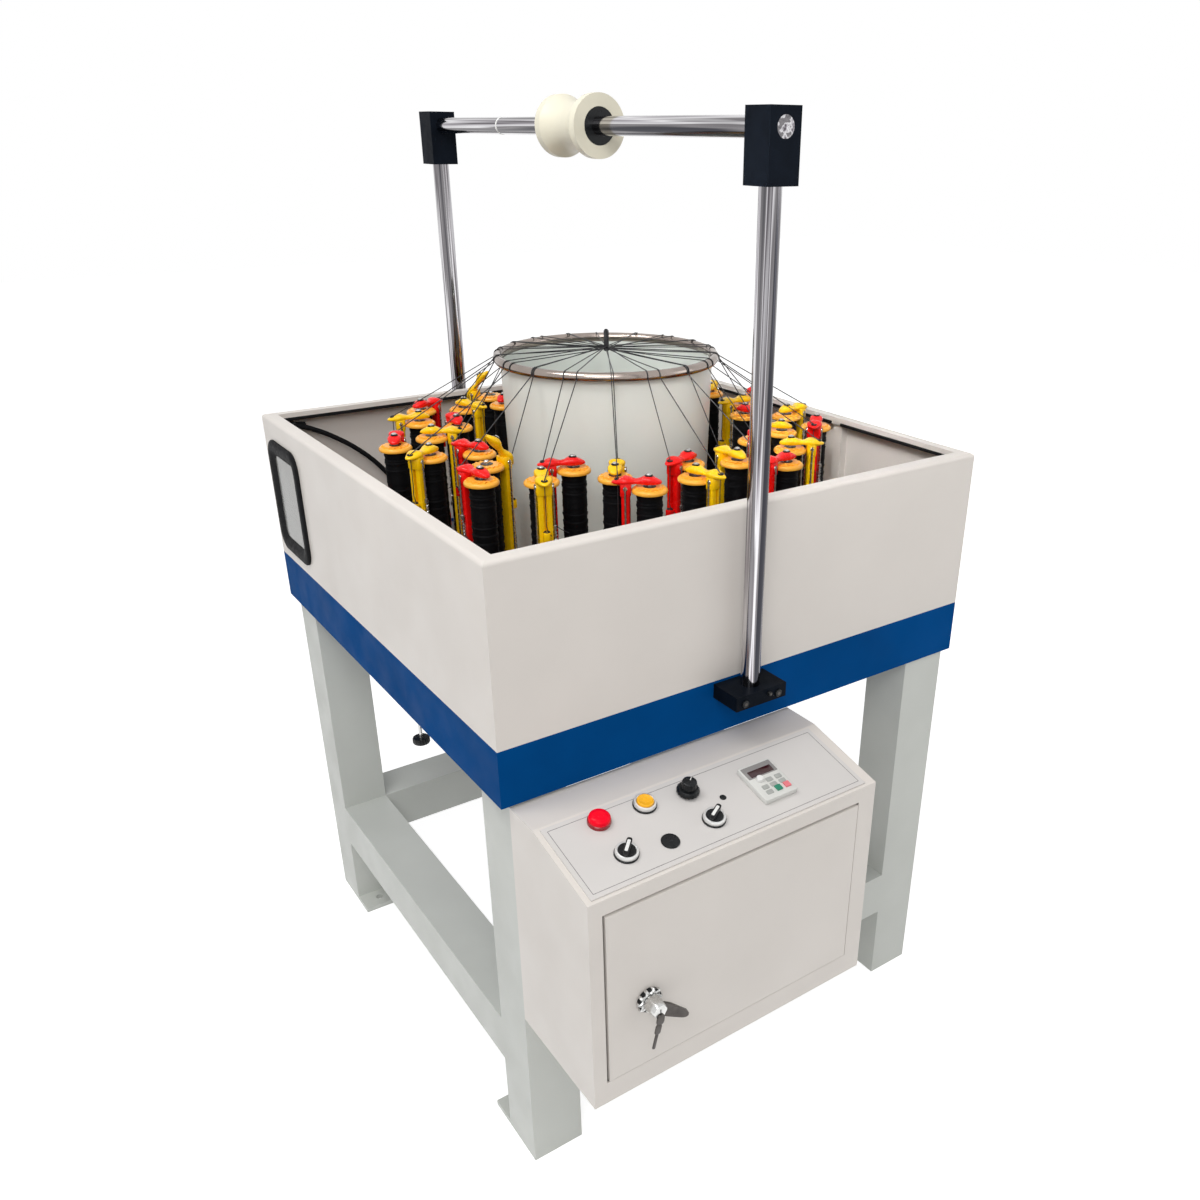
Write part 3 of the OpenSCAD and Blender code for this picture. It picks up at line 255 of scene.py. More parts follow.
def chrome_material(name, along):
    """Polished rod: streaks along it, as bright metal shows in a room; the base colour's dark and bright
    streaks are a painted reflection.
    """
    m, tree, bsdf = shader(name)
    set_inputs(bsdf, {"Metallic": 1.0})
    stretch = [STREAK_STRETCH if i == along else 1.0 for i in range(3)]
    tree.links.new(ramp(tree, noise(tree, 95, 2, stretch), PAINTED_REFLECTION_STOPS), bsdf.inputs["Base Color"])
    tree.links.new(spread(tree, noise(tree, 40, 4, stretch), 0.08, 0.16), bsdf.inputs["Roughness"])
    bumped(tree, bsdf, noise(tree, 500, 2, stretch), 0.15, 0.00003)
    return m


def pane_material():
    m, tree, bsdf = shader("pane_glass")
    set_inputs(bsdf, {"Transmission Weight": 0.55, "IOR": 1.49})
    stops = [(NOISE_LOW, (0.40, 0.40, 0.38)), (NOISE_HIGH, (0.48, 0.48, 0.46))]
    tree.links.new(ramp(tree, noise(tree, 9), stops), bsdf.inputs["Base Color"])
    tree.links.new(spread(tree, noise(tree, 30), 0.08, 0.16), bsdf.inputs["Roughness"])
    return m


YARN = yarn_material()
STRAND = surface("dark_strand", (0.022, 0.022, 0.024), 0.45, tint=0.25, tint_scale=300, grain=3000)
PANE = pane_material()
POST_CHROME = chrome_material("post_chrome", 2)
BAR_CHROME = chrome_material("bar_chrome", 1)

# Mesh building
SMOOTH_ANGLE, BEVEL_ANGLE = 38, 50
CORNER_STEPS = 3
EDGE_MID = 0.29


def move(x, y, z):
    return Matrix.Translation((x, y, z))


def rotate(degrees, axis):
    return Matrix.Rotation(math.radians(degrees), 4, axis)


def on_circle(radius, a):
    return radius * math.cos(a), radius * math.sin(a)


class Shape:
    """Closed surfaces gathered into one mesh, each with its own material."""

    def __init__(self):
        self.points, self.faces, self.slots, self.materials = [], [], [], []
        self.at = Matrix()

    def add(self, points, faces, material):
        base = len(self.points)
        self.points += [self.at @ Vector(p) for p in points]
        self.faces += [[base + i for i in f] for f in faces]
        if material not in self.materials:
            self.materials.append(material)
        self.slots += [self.materials.index(material)] * len(faces)

    def loft(self, rings, material, closed=False):
        """A skin over rings of equal length, with flat ends or joined end to end."""
        n = len(rings[0])
        faces = []
        for i in range(len(rings) if closed else len(rings) - 1):
            a, b = i * n, (i + 1) % len(rings) * n
            faces += [(a + j, a + (j + 1) % n, b + (j + 1) % n, b + j) for j in range(n)]
        if not closed:
            faces += [tuple(reversed(range(n))), tuple(range((len(rings) - 1) * n, len(rings) * n))]
        self.add([p for ring in rings for p in ring], faces, material)

    def lathe(self, profile, material, sides, lobes=0, lobe_depth=0.0, closed=False):
        """Rings of the profile's radii about Z; lobes flute the outside."""
        rings = []
        for r, z in profile:
            ring = []
            for j in range(sides):
                a = 2 * math.pi * j / sides
                rr = r - lobe_depth * (0.5 - 0.5 * math.cos(lobes * a)) if lobes else r
                ring.append((*on_circle(rr, a), z))
            rings.append(ring)
        self.loft(rings, material, closed)

    def plate(self, w, d, z0, z1, material, corner, edge, centre=(0, 0)):
        """A block with round upright corners and soft top and bottom edges."""
        mid = edge * EDGE_MID
        levels = ((edge, z0), (mid, z0 + mid), (0, z0 + edge), (0, z1 - edge), (mid, z1 - mid), (edge, z1))
        rings = []
        for inset, z in levels:
            outline = rounded(w - 2 * inset, d - 2 * inset, max(corner - inset, 1e-4), CORNER_STEPS)
            rings.append([(x + centre[0], y + centre[1], z) for x, y in outline])
        self.loft(rings, material)

    def prism(self, outline, z0, z1, material):
        self.loft([[(x, y, z) for x, y in outline] for z in (z0, z1)], material)

    def tube(self, path, radius, material, sides):
        """A round skin along a path, carried on without twist."""
        path = [Vector(p) for p in path]
        rings, across = [], None
        for i, p in enumerate(path):
            along = (path[min(i + 1, len(path) - 1)] - path[max(i - 1, 0)]).normalized()
            if across is None:
                across = along.orthogonal().normalized()
            across = (across - along * across.dot(along)).normalized()
            side = along.cross(across)
            rings.append([p + radius * (math.cos(a) * across + math.sin(a) * side)
                          for a in (2 * math.pi * j / sides for j in range(sides))])
        self.loft(rings, material)

    def mesh(self, name):
        data = bpy.data.meshes.new(name)
        data.from_pydata([tuple(p) for p in self.points], [], self.faces)
        for m in self.materials:
            data.materials.append(m)
        data.polygons.foreach_set("material_index", self.slots)
        bm = bmesh.new()
        bm.from_mesh(data)
        bmesh.ops.recalc_face_normals(bm, faces=bm.faces)
        for f in bm.faces:
            f.smooth = True
        bm.to_mesh(data)
        bm.free()
        data.set_sharp_from_angle(angle=math.radians(SMOOTH_ANGLE))
        return data


def rounded(w, d, r, steps):
    """A rectangle's outline with round corners."""
    points = []
    for cx, cy, a0 in ((1, 1, 0), (-1, 1, 90), (-1, -1, 180), (1, -1, 270)):
        for i in range(steps + 1):
            x, y = on_circle(r, math.radians(a0 + 90 * i / steps))
            points.append((cx * (w / 2 - r) + x, cy * (d / 2 - r) + y))
    return points


def flow(points, steps):
    """A smooth curve through the points."""
    points = [Vector(p) for p in points]
    out = []
    for i in range(len(points) - 1):
        a, b = points[max(i - 1, 0)], points[i]
        c, d = points[i + 1], points[min(i + 2, len(points) - 1)]
        for s in range(steps):
            t = s / steps
            out.append(0.5 * (2 * b + (c - a) * t + (2 * a - 5 * b + 4 * c - d) * t ** 2
                              + (3 * b - a - 3 * c + d) * t ** 3))
    return out + [points[-1]]


def place(name, data, body, at=None, replaces=()):
    obj = bpy.data.objects.new(name, data)
    SCENE.collection.objects.link(obj)
    if at is not None:
        obj.matrix_world = at
    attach(obj, body)
    if replaces:
        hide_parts(*replaces)
    return obj


def put(shape, name, body, slot, *nodes):
    """A shape as a piece that rides a body and stands for the nodes it replaces."""
    return place(name, shape.mesh(name), body, replaces=nodes)


def dress(node, material, bevel):
    obj = NODES[node]
    if not obj.material_slots:
        obj.data.materials.append(material)
    for s in obj.material_slots:
        s.material = material
    if bevel:
        soft = obj.modifiers.new("soft_edges", "BEVEL")
        soft.width = bevel
        soft.segments = 2
        soft.limit_method = "ANGLE"
        soft.angle_limit = math.radians(BEVEL_ANGLE)
        soft.harden_normals = True


# Cable inside the guard, from its connector down to its gland
CABLE_Y, CABLE_D = 0.4207, 0.009
CABLE_ROUTE = [(-370, 990), (-356, 986), (-340, 979), (-322, 970), (-304, 959), (-286, 947), (-268, 933),
               (-250, 917), (-233, 899), (-217, 879), (-203, 857), (-192, 834), (-185, 810), (-182, 792),
               (-181, 777)]
CONNECTOR_AT = (-0.378, 0.4232, 0.990)
GLAND_AT = (-0.181, CABLE_Y, 0.757)
BOOT_FORM = [(0.0074, 0.003), (0.0074, 0.006), (0.0062, 0.012), (0.0055, 0.022), (0.0047, 0.0225)]
GLAND_NUT_FORM = [(0.0105, 0), (0.0105, 0.006), (0.0095, 0.007)]
GLAND_CAP_FORM = [(0.0088, 0.006), (0.0088, 0.014), (0.0078, 0.018), (0.0058, 0.020)]

cable_path = flow([(x / 1000, CABLE_Y, z / 1000) for x, z in CABLE_ROUTE], 2)
jacket = Shape()
jacket.tube(cable_path, CABLE_D / 2, RUBBER, 14)
cable = put(jacket, "sensor_cable_jacket", "frame", "strand", "sensor_cable")
ends = Shape()
ends.at = move(*CONNECTOR_AT) @ rotate(90, "Y")
ends.plate(0.018, 0.020, -0.008, 0.004, BLACK, 0.003, 0.0015)
ends.lathe(BOOT_FORM, RUBBER, 20)
ends.at = move(*GLAND_AT)
ends.lathe(GLAND_NUT_FORM, BLACK, 6)
ends.lathe(GLAND_CAP_FORM, BLACK, 30, 15, 0.0006)
cable_ends = put(ends, "sensor_cable_ends", "frame", "strand")

# Horn gears with their two carriers
TOOTH_TIP, TOOTH_ROOT = 0.0022, -0.0030
TIP_SHARE, ROOT_SHARE = 0.17, 0.30
NOTCH_START, NOTCH_SWEEP, NOTCH_STEPS = 95, 170, 8
RIM_STEPS = 12


def toothed(radius, teeth, shift):
    """A gear's outline, four points to a tooth."""
    points = []
    step = 360 / teeth
    for i in range(teeth):
        for side, share, out in ((-1, ROOT_SHARE, TOOTH_ROOT), (-1, TIP_SHARE, TOOTH_TIP),
                                 (1, TIP_SHARE, TOOTH_TIP), (1, ROOT_SHARE, TOOTH_ROOT)):
            points.append(on_circle(radius + out, math.radians(shift + i * step + side * step * share)))
    return points


def notched(radius, notch_r, shift):
    """A disc's outline with four round notches cut in from its rim."""
    points = []
    reach = math.degrees(2 * math.asin(notch_r / (2 * radius)))
    for q in range(4):
        middle = shift + 90 * q
        centre = Vector(on_circle(radius, math.radians(middle)))
        notch = []
        for i in range(NOTCH_STEPS + 1):
            x, y = on_circle(notch_r, math.radians(middle + NOTCH_START + NOTCH_SWEEP * i / NOTCH_STEPS))
            notch.append((centre.x + x, centre.y + y))
        points += sorted(notch, key=lambda p: (math.degrees(math.atan2(p[1], p[0])) - middle + 180) % 360)
        for i in range(1, RIM_STEPS):
            points.append(on_circle(radius, math.radians(middle + reach + (90 - 2 * reach) * i / RIM_STEPS)))
    return points


def horn_gear(shape, turn):
    shift = GEAR_SHIFT + (0 if turn > 0 else 180 / GEAR_TEETH)
    shape.prism(toothed(GEAR_R, GEAR_TEETH, shift), GEAR_Z0, GEAR_Z1, MACHINED)
    shape.lathe([(HUB_R, GEAR_Z1 - 0.001), (HUB_R, HORN_Z0), (HUB_R - 0.001, HORN_Z1 + 0.001)], MACHINED, 40)
    shape.prism(notched(HORN_R, PIN_R + PIN_PLAY, turn * CARRIER_PHASE), HORN_Z0, HORN_Z1, MACHINED)


# Lever's stations in millimetres: along it, width, underside and top
LEVER_FORM = [(-17, 4, 2.5, 4.5), (-15.5, 9, 1.4, 6.4), (-11, 15, 0.6, 8.6), (-5, 20, 0.2, 11.5),
              (1, 21.5, 0, 13.2), (7, 20, 0.2, 12.2), (13, 15.5, 0.8, 9.2), (19, 13.5, 1, 8),
              (24, 17, 0.6, 9), (29, 23, 0, 11), (34, 25, -1, 11.6), (39, 23, -0.5, 10),
              (44, 17, 0, 7.6), (49, 11.5, 0.6, 6), (52, 6, 1.6, 4.6), (53, 2.5, 2.4, 3.6)]
LEVER_SIDES, LEVER_ROUND = 16, 0.75
SCREW_U, SCREW_UP = 0.001, 0.0122
WASHER_FORM = [(0.0056, 0), (0.0056, 0.0014), (0.0046, 0.0019)]
SCREW_FORM = [(0.0040, 0.0012), (0.0040, 0.0026), (0.0030, 0.0036), (0.0012, 0.0040)]
HINGE_FORM = [(0.0024, -0.0130), (0.0030, -0.0124), (0.0030, 0.0124), (0.0024, 0.0130)]
HINGE_DROP = 0.004
EYELET_R, EYELET_TUBE_R, EYELET_SINK = 0.0036, 0.0014, 0.0006
SPRING_R, SPRING_WIRE_R, SPRING_TURNS, SPRING_STEPS = 0.0026, 0.0006, 16, 9
SPRING_Z0, SPRING_Z1 = 0.885, 0.962
COLLAR_R, COLLAR_H = 0.0034, 0.006
SLOT_W, SLOT_D = 0.0024, 0.0062
THREAD_WAY = [(0.012, YARN_R - 0.004, 0.930), (0.030, 0.0135, 0.942), (EYE_U, 0.001, GUIDE_Z1 + 0.004),
              (EYE_U + 0.0002, 0, 0.990)]


def spring_path():
    n = SPRING_TURNS * SPRING_STEPS
    rise = SPRING_Z1 - SPRING_Z0
    return [(*on_circle(SPRING_R, 2 * math.pi * i / SPRING_STEPS), SPRING_Z0 + rise * i / n)
            for i in range(n + 1)]


def lifted(lift):
    """A lever's turn about the top of its post."""
    pivot = move(POST_U, 0, LEVER_Z0)
    return pivot @ rotate(lift, "Y") @ pivot.inverted()


def eyelet(shape, z):
    here = shape.at.copy()
    shape.at = here @ move(EYE_U, 0, z)
    section = [on_circle(EYELET_TUBE_R, 2 * math.pi * i / 8) for i in range(8)]
    shape.lathe([(EYELET_R + x, y) for x, y in section], BLACK, 18, closed=True)
    shape.at = here


def rounded_off(value):
    """A sine or cosine drawn out towards a square's corners."""
    return math.copysign(abs(value) ** LEVER_ROUND, value)


def lever(shape, plastic, lift):
    """The sculpted lever over the bobbin: tail, hump, neck, head over the post, and the eye's beak."""
    here = shape.at.copy()
    tilted = here @ lifted(lift)
    shape.at = tilted
    rings = []
    for u, w, low, high in LEVER_FORM:
        ring = []
        for j in range(LEVER_SIDES):
            a = 2 * math.pi * j / LEVER_SIDES
            y = w / 2 * rounded_off(math.cos(a))
            z = (low + high) / 2 + (high - low) / 2 * rounded_off(math.sin(a))
            ring.append((u / 1000, y / 1000, LEVER_Z0 + z / 1000))
        rings.append(ring)
    shape.loft(rings, plastic)
    eyelet(shape, EYE_Z - EYELET_SINK)
    # Pivot screw on the hump
    shape.at = tilted @ move(SCREW_U, 0, LEVER_Z0 + SCREW_UP)
    shape.lathe(WASHER_FORM, BLACK, 20)
    shape.lathe(SCREW_FORM, STEEL, 18)
    shape.at = here


def carrier(shape, plastic, lift):
    here = shape.at.copy()
    # Foot, drive pin, base and spindle
    shape.lathe([(PIN_R - 0.0008, HORN_Z0), (PIN_R, HORN_Z0 + 0.001), (PIN_R, FOOT_Z0)], STEEL, 18)
    shape.lathe([(FOOT_R - 0.0012, FOOT_Z0), (FOOT_R, FOOT_Z0 + 0.001), (FOOT_R, FOOT_Z1 - 0.001),
                 (FOOT_R - 0.0012, FOOT_Z1)], STEEL, 28)
    shape.lathe([(0.0085, FOOT_Z1), (0.0065, FOOT_Z1 + 0.006), (0.0065, BASE_Z0)], STEEL, 18)
    shape.plate(BASE_L, BASE_W, BASE_Z0, BASE_Z1, plastic, 0.009, 0.0016, (BASE_U, 0))
    shape.lathe([(SPINDLE_R, BASE_Z1), (SPINDLE_R, LEVER_Z0 + 0.002), (SPINDLE_R - 0.001, LEVER_Z0 + 0.003)],
                STEEL, 16)
    # Post with a slot down its front, a head and a foot
    w, d = POST_W / 2, POST_D / 2
    channel = [(-d, -w + 0.003), (-d + 0.0009, -w + 0.0009), (-d + 0.003, -w), (d - 0.0025, -w),
               (d - 0.0007, -w + 0.0007), (d, -w + 0.0025), (d, -SLOT_W), (d - SLOT_D, -SLOT_W)]
    channel += [(x, -y) for x, y in reversed(channel)]
    shape.prism([(x + POST_U, y) for x, y in channel], BASE_Z1 - 0.001, LEVER_Z0 - 0.006, plastic)
    shape.plate(HEAD_D, HEAD_W, LEVER_Z0 - 0.016, LEVER_Z0 + 0.0035, plastic, 0.004, 0.0018, (POST_U, 0))
    shape.plate(HEAD_D, HEAD_W, BASE_Z1 - 0.002, BASE_Z1 + 0.012, plastic, 0.003, 0.0014, (POST_U, 0))
    # Guide rods beside the post, one with its spring and collars
    for side in (-1, 1):
        shape.at = here @ move(POST_U, side * ROD_V, 0)
        shape.lathe([(ROD_R, BASE_Z1 - 0.001), (ROD_R, LEVER_Z0)], STEEL, 10)
    shape.tube(spring_path(), SPRING_WIRE_R, STEEL, 5)
    for z in (SPRING_Z0 - COLLAR_H, SPRING_Z1):
        shape.lathe([(COLLAR_R, z), (COLLAR_R, z + COLLAR_H)], STEEL, 14)
    # Lower guide with its eyelet, and the lever
    shape.at = here
    shape.plate(GUIDE_L, GUIDE_W, GUIDE_Z0, GUIDE_Z1, plastic, 0.003, 0.0014, (GUIDE_U, 0))
    eyelet(shape, GUIDE_Z1)
    lever(shape, plastic, lift)
    # Hinge pin through the head
    shape.at = here @ move(POST_U, 0, LEVER_Z0 - HINGE_DROP) @ rotate(90, "X")
    shape.lathe(HINGE_FORM, STEEL, 14)
    # Yarn from the bobbin through the guide up to the eye
    shape.at = here
    eye = lifted(lift) @ Vector((EYE_U, 0, EYE_Z))
    shape.tube(flow([*THREAD_WAY, eye], 4), STRAND_R * THREAD_SHARE, STRAND, 6)


YARN_TURNS, CROWN_TEETH = 50, 14


def bobbin(shape):
    shape.lathe([(FLANGE_R - 0.0012, BOBBIN_Z0), (FLANGE_R, BOBBIN_Z0 + 0.0012), (FLANGE_R, YARN_Z0 - 0.0012),
                 (FLANGE_R - 0.0012, YARN_Z0)], ORANGE, 40)
    # Wound yarn: ridges of close turns that wander a little
    pack = [(YARN_R - 0.0012, YARN_Z0)]
    for i in range(YARN_TURNS):
        for part, dip in ((0.15, 0.0005), (0.6, 0.0)):
            z = YARN_Z0 + (YARN_Z1 - YARN_Z0) * (i + part) / YARN_TURNS
            pack.append((YARN_R - dip + 0.0004 * math.sin(i * 1.7) + 0.0003 * math.sin(i * 4.1), z))
    pack.append((YARN_R - 0.0012, YARN_Z1))
    shape.lathe(pack, YARN, 28)
    # Upper flange with its toothed crown
    shape.lathe([(FLANGE_R - 0.0030, YARN_Z1), (FLANGE_R - 0.0006, YARN_Z1 + 0.0010),
                 (FLANGE_R, YARN_Z1 + 0.0028), (FLANGE_R - 0.0004, YARN_Z1 + 0.0050),
                 (FLANGE_R - 0.0022, FLANGE_Z1 + 0.0018), (FLANGE_R - 0.0055, FLANGE_Z1 + 0.0022),
                 (0.0120, FLANGE_Z1 + 0.0022)], ORANGE, 40)
    crown = []
    for i in range(CROWN_TEETH):
        for lead, inset in ((0, 0.0045), (0.62, 0.0085), (0.66, 0.0088)):
            crown.append(on_circle(FLANGE_R - inset, 2 * math.pi * (i + lead) / CROWN_TEETH))
    shape.prism(crown, FLANGE_Z1 + 0.0015, BOBBIN_Z1, ORANGE)
    shape.lathe([(0.0095, BOBBIN_Z1 - 0.0005), (0.0090, BOBBIN_Z1 + 0.0008), (0.0060, BOBBIN_Z1 + 0.0008)],
                BLACK, 24)


def turn_of(k):
    return 1 if k % 2 == 0 else -1


def carrier_at(turn, red):
    """Place of a carrier in its gear's own frame, whose X axis points away from the machine's axis."""
    spin = (90 + turn * 90 if red else -90) + turn * CARRIER_PHASE
    return rotate(spin, "Z") @ move(GEAR_R, 0, 0) @ rotate(turn * 90, "Z")


def gear_place(k):
    x, y, _ = JOINTS[f"gear_{k + 1:02d}_turn"]["pos_m"]
    return move(x, y, 0) @ rotate(270 + k * 360 / GEAR_COUNT, "Z")


def latch_lift(k, red):
    return LATCH_LIFT if k in OPEN_LATCHES and not red else 0


gear_meshes = {}
for k in range(GEAR_COUNT):
    form = turn_of(k), latch_lift(k, False)
    if form not in gear_meshes:
        shape = Shape()
        horn_gear(shape, form[0])
        for red in (False, True):
            shape.at = carrier_at(form[0], red)
            carrier(shape, RED if red else YELLOW, latch_lift(k, red))
            bobbin(shape)
        gear_meshes[form] = shape.mesh(f"carriers_form_{len(gear_meshes) + 1}")
    place(f"carriers_{k + 1:02d}", gear_meshes[form], f"gear_{k + 1:02d}", gear_place(k),
          (f"carrier_pair_{k + 1:02d}",))

# Strands: from each eye to the ring, over it, and across to the braid
STRAND_STEPS = 16
RING_ANGLES = (-20, 0, 25, 50, 75, 95)
FELL_R, FELL_Z, FELL_SPREAD, FELL_LEAN = 0.0042, 1.1500, 0.006, 22
WEB_SAG = (-0.0015, 0.0005)
BRAID_ENDS, BRAID_STEPS, BRAID_TWIST, BRAID_PITCH = 10, 25, 0.30, 0.0013
BRAID_R, BRAID_WAVE, BRAID_WEAVE = 0.0032, 0.0004, 1.55
BRAID_CORE_FORM = [(0.0026, 0), (0.0026, 0.0345)]
BRAID_DROP, CORE_DROP = 0.002, 0.003

web = Shape()
axis = Vector((AXIS_X, 0, 0))
for k in range(GEAR_COUNT):
    for red in (False, True):
        eye = (gear_place(k) @ carrier_at(turn_of(k), red) @ lifted(latch_lift(k, red))
               @ Vector((EYE_U, 0, EYE_Z)))
        out = Vector((eye.x - AXIS_X, eye.y, 0)).normalized()
        over = []
        for degrees in RING_ANGLES:
            x, z = on_circle(RING_TUBE_R + STRAND_R, math.radians(degrees))
            over.append(axis + out * (RING_R + x) + Vector((0, 0, RING_Z + z)))
        climb = [eye.lerp(over[0], i / STRAND_STEPS) for i in range(STRAND_STEPS)]
        outer = Shape()
        outer.tube(climb + over, STRAND_R, STRAND, 6)
        name = f"strand_{k + 1:02d}_{'red' if red else 'yellow'}"
        piece = bpy.data.objects.new(name, outer.mesh(name))
        SCENE.collection.objects.link(piece)
        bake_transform(piece)
        near = Matrix.Rotation((1 if red else -1) * math.radians(FELL_LEAN), 3, "Z") @ out
        fell = axis + near * FELL_R + Vector((0, 0, FELL_Z + random.uniform(0, FELL_SPREAD)))
        middle = over[-1].lerp(fell, 0.5) + Vector((0, 0, random.uniform(*WEB_SAG)))
        web.tube(flow([over[-1], middle, fell], 5), STRAND_R, STRAND, 6)
for hand in (1, -1):
    for i in range(BRAID_ENDS):
        points = []
        for s in range(BRAID_STEPS):
            a = 2 * math.pi * i / BRAID_ENDS + hand * s * BRAID_TWIST
            r = BRAID_R + BRAID_WAVE * math.cos(s * BRAID_WEAVE + i * math.pi + (0 if hand > 0 else math.pi))
            x, y = on_circle(r, a)
            points.append((AXIS_X + x, y, FELL_Z - BRAID_DROP + s * BRAID_PITCH))
        web.tube(points, STRAND_R * BRAID_SHARE, STRAND, 5)
web.at = move(AXIS_X, 0, FELL_Z - CORE_DROP)
web.lathe(BRAID_CORE_FORM, STRAND, 14)
put(web, "strand_fan", "frame", "strand", "strand_web")

# Solids that keep their shape, with the width of their soft edges
for node, material, bevel in (
        ("legs", STAND, 0.004), ("stretchers", STAND, 0.004), ("table_skirt", BLUE, 0.002),
        ("base_plate", MACHINED, 0.001), ("track_plates", MACHINED, 0.0006), ("track_quoits", STEEL, 0.0006),
        ("guard_front", CREAM, 0.0006), ("guard_back", CREAM, 0.0006), ("guard_left", CREAM, 0.0006),
        ("guard_right", CREAM, 0.0006), ("window_pane", PANE, 0.0),
        ("drum", DRUM, 0.0006), ("drum_ring", RING, 0.0), ("arch_blocks", BLOCK, 0.002),
        ("arch_posts", POST_CHROME, 0.0), ("cross_bar", BAR_CHROME, 0.001), ("pulley", IVORY, 0.001),
        ("pulley_bushes", BLACK, 0.0006), ("cabinet_shell", CREAM, 0.0008), ("control_panel", PANEL, 0.0005),
        ("keypad_run_key", GREEN, 0.0005), ("keypad_stop_key", PINK, 0.0005), ("cabinet_door", CREAM, 0.002),
        ("door_hinge_pins", STEEL, 0.0004), ("drive_pinion", MACHINED, 0.0004)):
    dress(node, material, bevel)

# Control panel: places in millimetres from the cabinet's left side and up the slope
LAMP_AT, BUTTON_AT, KNOB_AT, PLUG_AT, SMALL_PLUG_AT = (82, 110), (152, 109), (217, 102), (147, 40), (256, 73)
SELECTORS = {"selector_left": (85, 48), "selector_right": (221, 46)}
SELECTOR_TURN = {"selector_left": -45, "selector_right": -59}
KNOB_MARK_TURN = -50
KEYPAD_AT, DIAL_OFF = (328, 68), (-11.5, 3)
PAD_KEYS = ((-14, -12), (-14, -22), (0.5, -2), (0.5, -12), (16, -2), (16, -12))
PLATE_X, PLATE_S = (8, 459.5), (5, 132.3)
LINE_IN, LINE_W = 7, 0.8

# Turned forms of the controls: radius and height over the panel
GASKET_FORM = [(0.0119, 0), (0.0164, 0), (0.0164, 0.0022), (0.0158, 0.0027), (0.0119, 0.0027)]
BEZEL_FORM = [(0.0121, 0.0025), (0.0152, 0.0025), (0.0155, 0.0034), (0.0153, 0.0066), (0.0146, 0.0078),
              (0.0130, 0.0082), (0.0121, 0.0078)]
BARREL_FORM = [(0.0002, -0.034), (0.0110, -0.034), (0.0110, 0), (0.0119, 0), (0.0119, 0.0004),
               (0.0098, 0.0004), (0.0098, -0.010), (0.0002, -0.010)]
LAMP_BARREL_FORM = [(0.0110, -0.034), (0.0110, 0.001)]
KNOB_BARREL_FORM = [(0.012, -0.0185), (0.012, -0.0045), (0.005, -0.0045), (0.005, 0.002)]
LAMP_RIM_FORM = [(0.0158, 0), (0.0160, 0.0016), (0.0158, 0.0048), (0.0146, 0.0058)]
LAMP_FORM = [(0.0146, 0.0050), (0.0147, 0.0090), (0.0141, 0.0110), (0.0122, 0.0126), (0.0080, 0.0138),
             (0.0030, 0.0142)]
CAP_FORM = [(0.0094, -0.004), (0.0094, 0.0068), (0.0116, 0.0068), (0.0117, 0.0092), (0.0111, 0.0102),
            (0.0098, 0.0106), (0.0090, 0.0100), (0.0020, 0.0098)]
SELECTOR_FORM = [(0.0094, -0.004), (0.0094, 0.0040), (0.0118, 0.0042), (0.0118, 0.0082), (0.0112, 0.0090),
                 (0.0040, 0.0092)]
KNOB_SHAFT_FORM = [(0.0030, -0.010), (0.0030, 0.004)]
KNOB_SKIRT_FORM = [(0.0160, 0.0034), (0.0164, 0.0042), (0.0160, 0.0080), (0.0136, 0.0104), (0.0096, 0.0108)]
KNOB_FORM = [(0.0108, 0.0100), (0.0106, 0.0196), (0.0100, 0.0218), (0.0086, 0.0228), (0.0030, 0.0230)]
PLUG_FORM = [(0.0112, -0.010), (0.0110, 0), (0.0126, 0), (0.0127, 0.0012), (0.0119, 0.0022), (0.0070, 0.0026),
             (0.0020, 0.0027)]
SMALL_PLUG_FORM = [(0.0046, -0.0005), (0.0047, 0.0008), (0.0040, 0.0014), (0.0010, 0.0016)]
DIAL_FORM = [(0.0030, 0.003), (0.0030, 0.0093), (0.0053, 0.0093), (0.0055, 0.0102), (0.0052, 0.0134),
             (0.0044, 0.0142), (0.0010, 0.0143)]


def on_panel(x, s):
    """A frame on the panel's face, with Z away from it."""
    return (move(CAB_X0, CAB_FRONT, CAB_LIP) @ Matrix.Rotation(math.atan2(PANEL_RISE, PANEL_RUN), 4, "X")
            @ move(x / 1000, s / 1000, PANEL_T))


rings = Shape()
for at in (BUTTON_AT, *SELECTORS.values()):
    rings.at = on_panel(*at)
    rings.lathe(GASKET_FORM, BLACK, 40, closed=True)
    rings.lathe(BEZEL_FORM, SATIN, 40, closed=True)
    rings.lathe(BARREL_FORM, BLACK, 28, closed=True)
rings.at = on_panel(*LAMP_AT)
rings.lathe(LAMP_BARREL_FORM, BLACK, 28)
rings.at = on_panel(*KNOB_AT)
rings.lathe(KNOB_BARREL_FORM, STEEL, 24)
put(rings, "control_rings", "frame", "bright", "control_bezels")

lamp = Shape()
lamp.at = on_panel(*LAMP_AT)
lamp.lathe(LAMP_RIM_FORM, LAMP_RIM, 40)
lamp.lathe(LAMP_FORM, LAMP, 40)
put(lamp, "power_lamp_lens", "frame", "lamp", "power_lamp")

cap = Shape()
cap.at = on_panel(*BUTTON_AT)
cap.lathe(CAP_FORM, AMBER, 40)
put(cap, "start_cap", "button", "yellow", "start_button")

for node, at in SELECTORS.items():
    knob = Shape()
    knob.at = on_panel(*at) @ rotate(SELECTOR_TURN[node], "Z")
    knob.lathe(SELECTOR_FORM, BLACK, 40)
    knob.plate(0.0076, 0.0250, 0.0086, 0.0186, BLACK, 0.0032, 0.0012)
    knob.plate(0.0042, 0.0196, 0.0178, 0.0190, WHITE, 0.0012, 0.0003, (0, -0.0020))
    put(knob, f"{node}_knob", node, "bush", node)

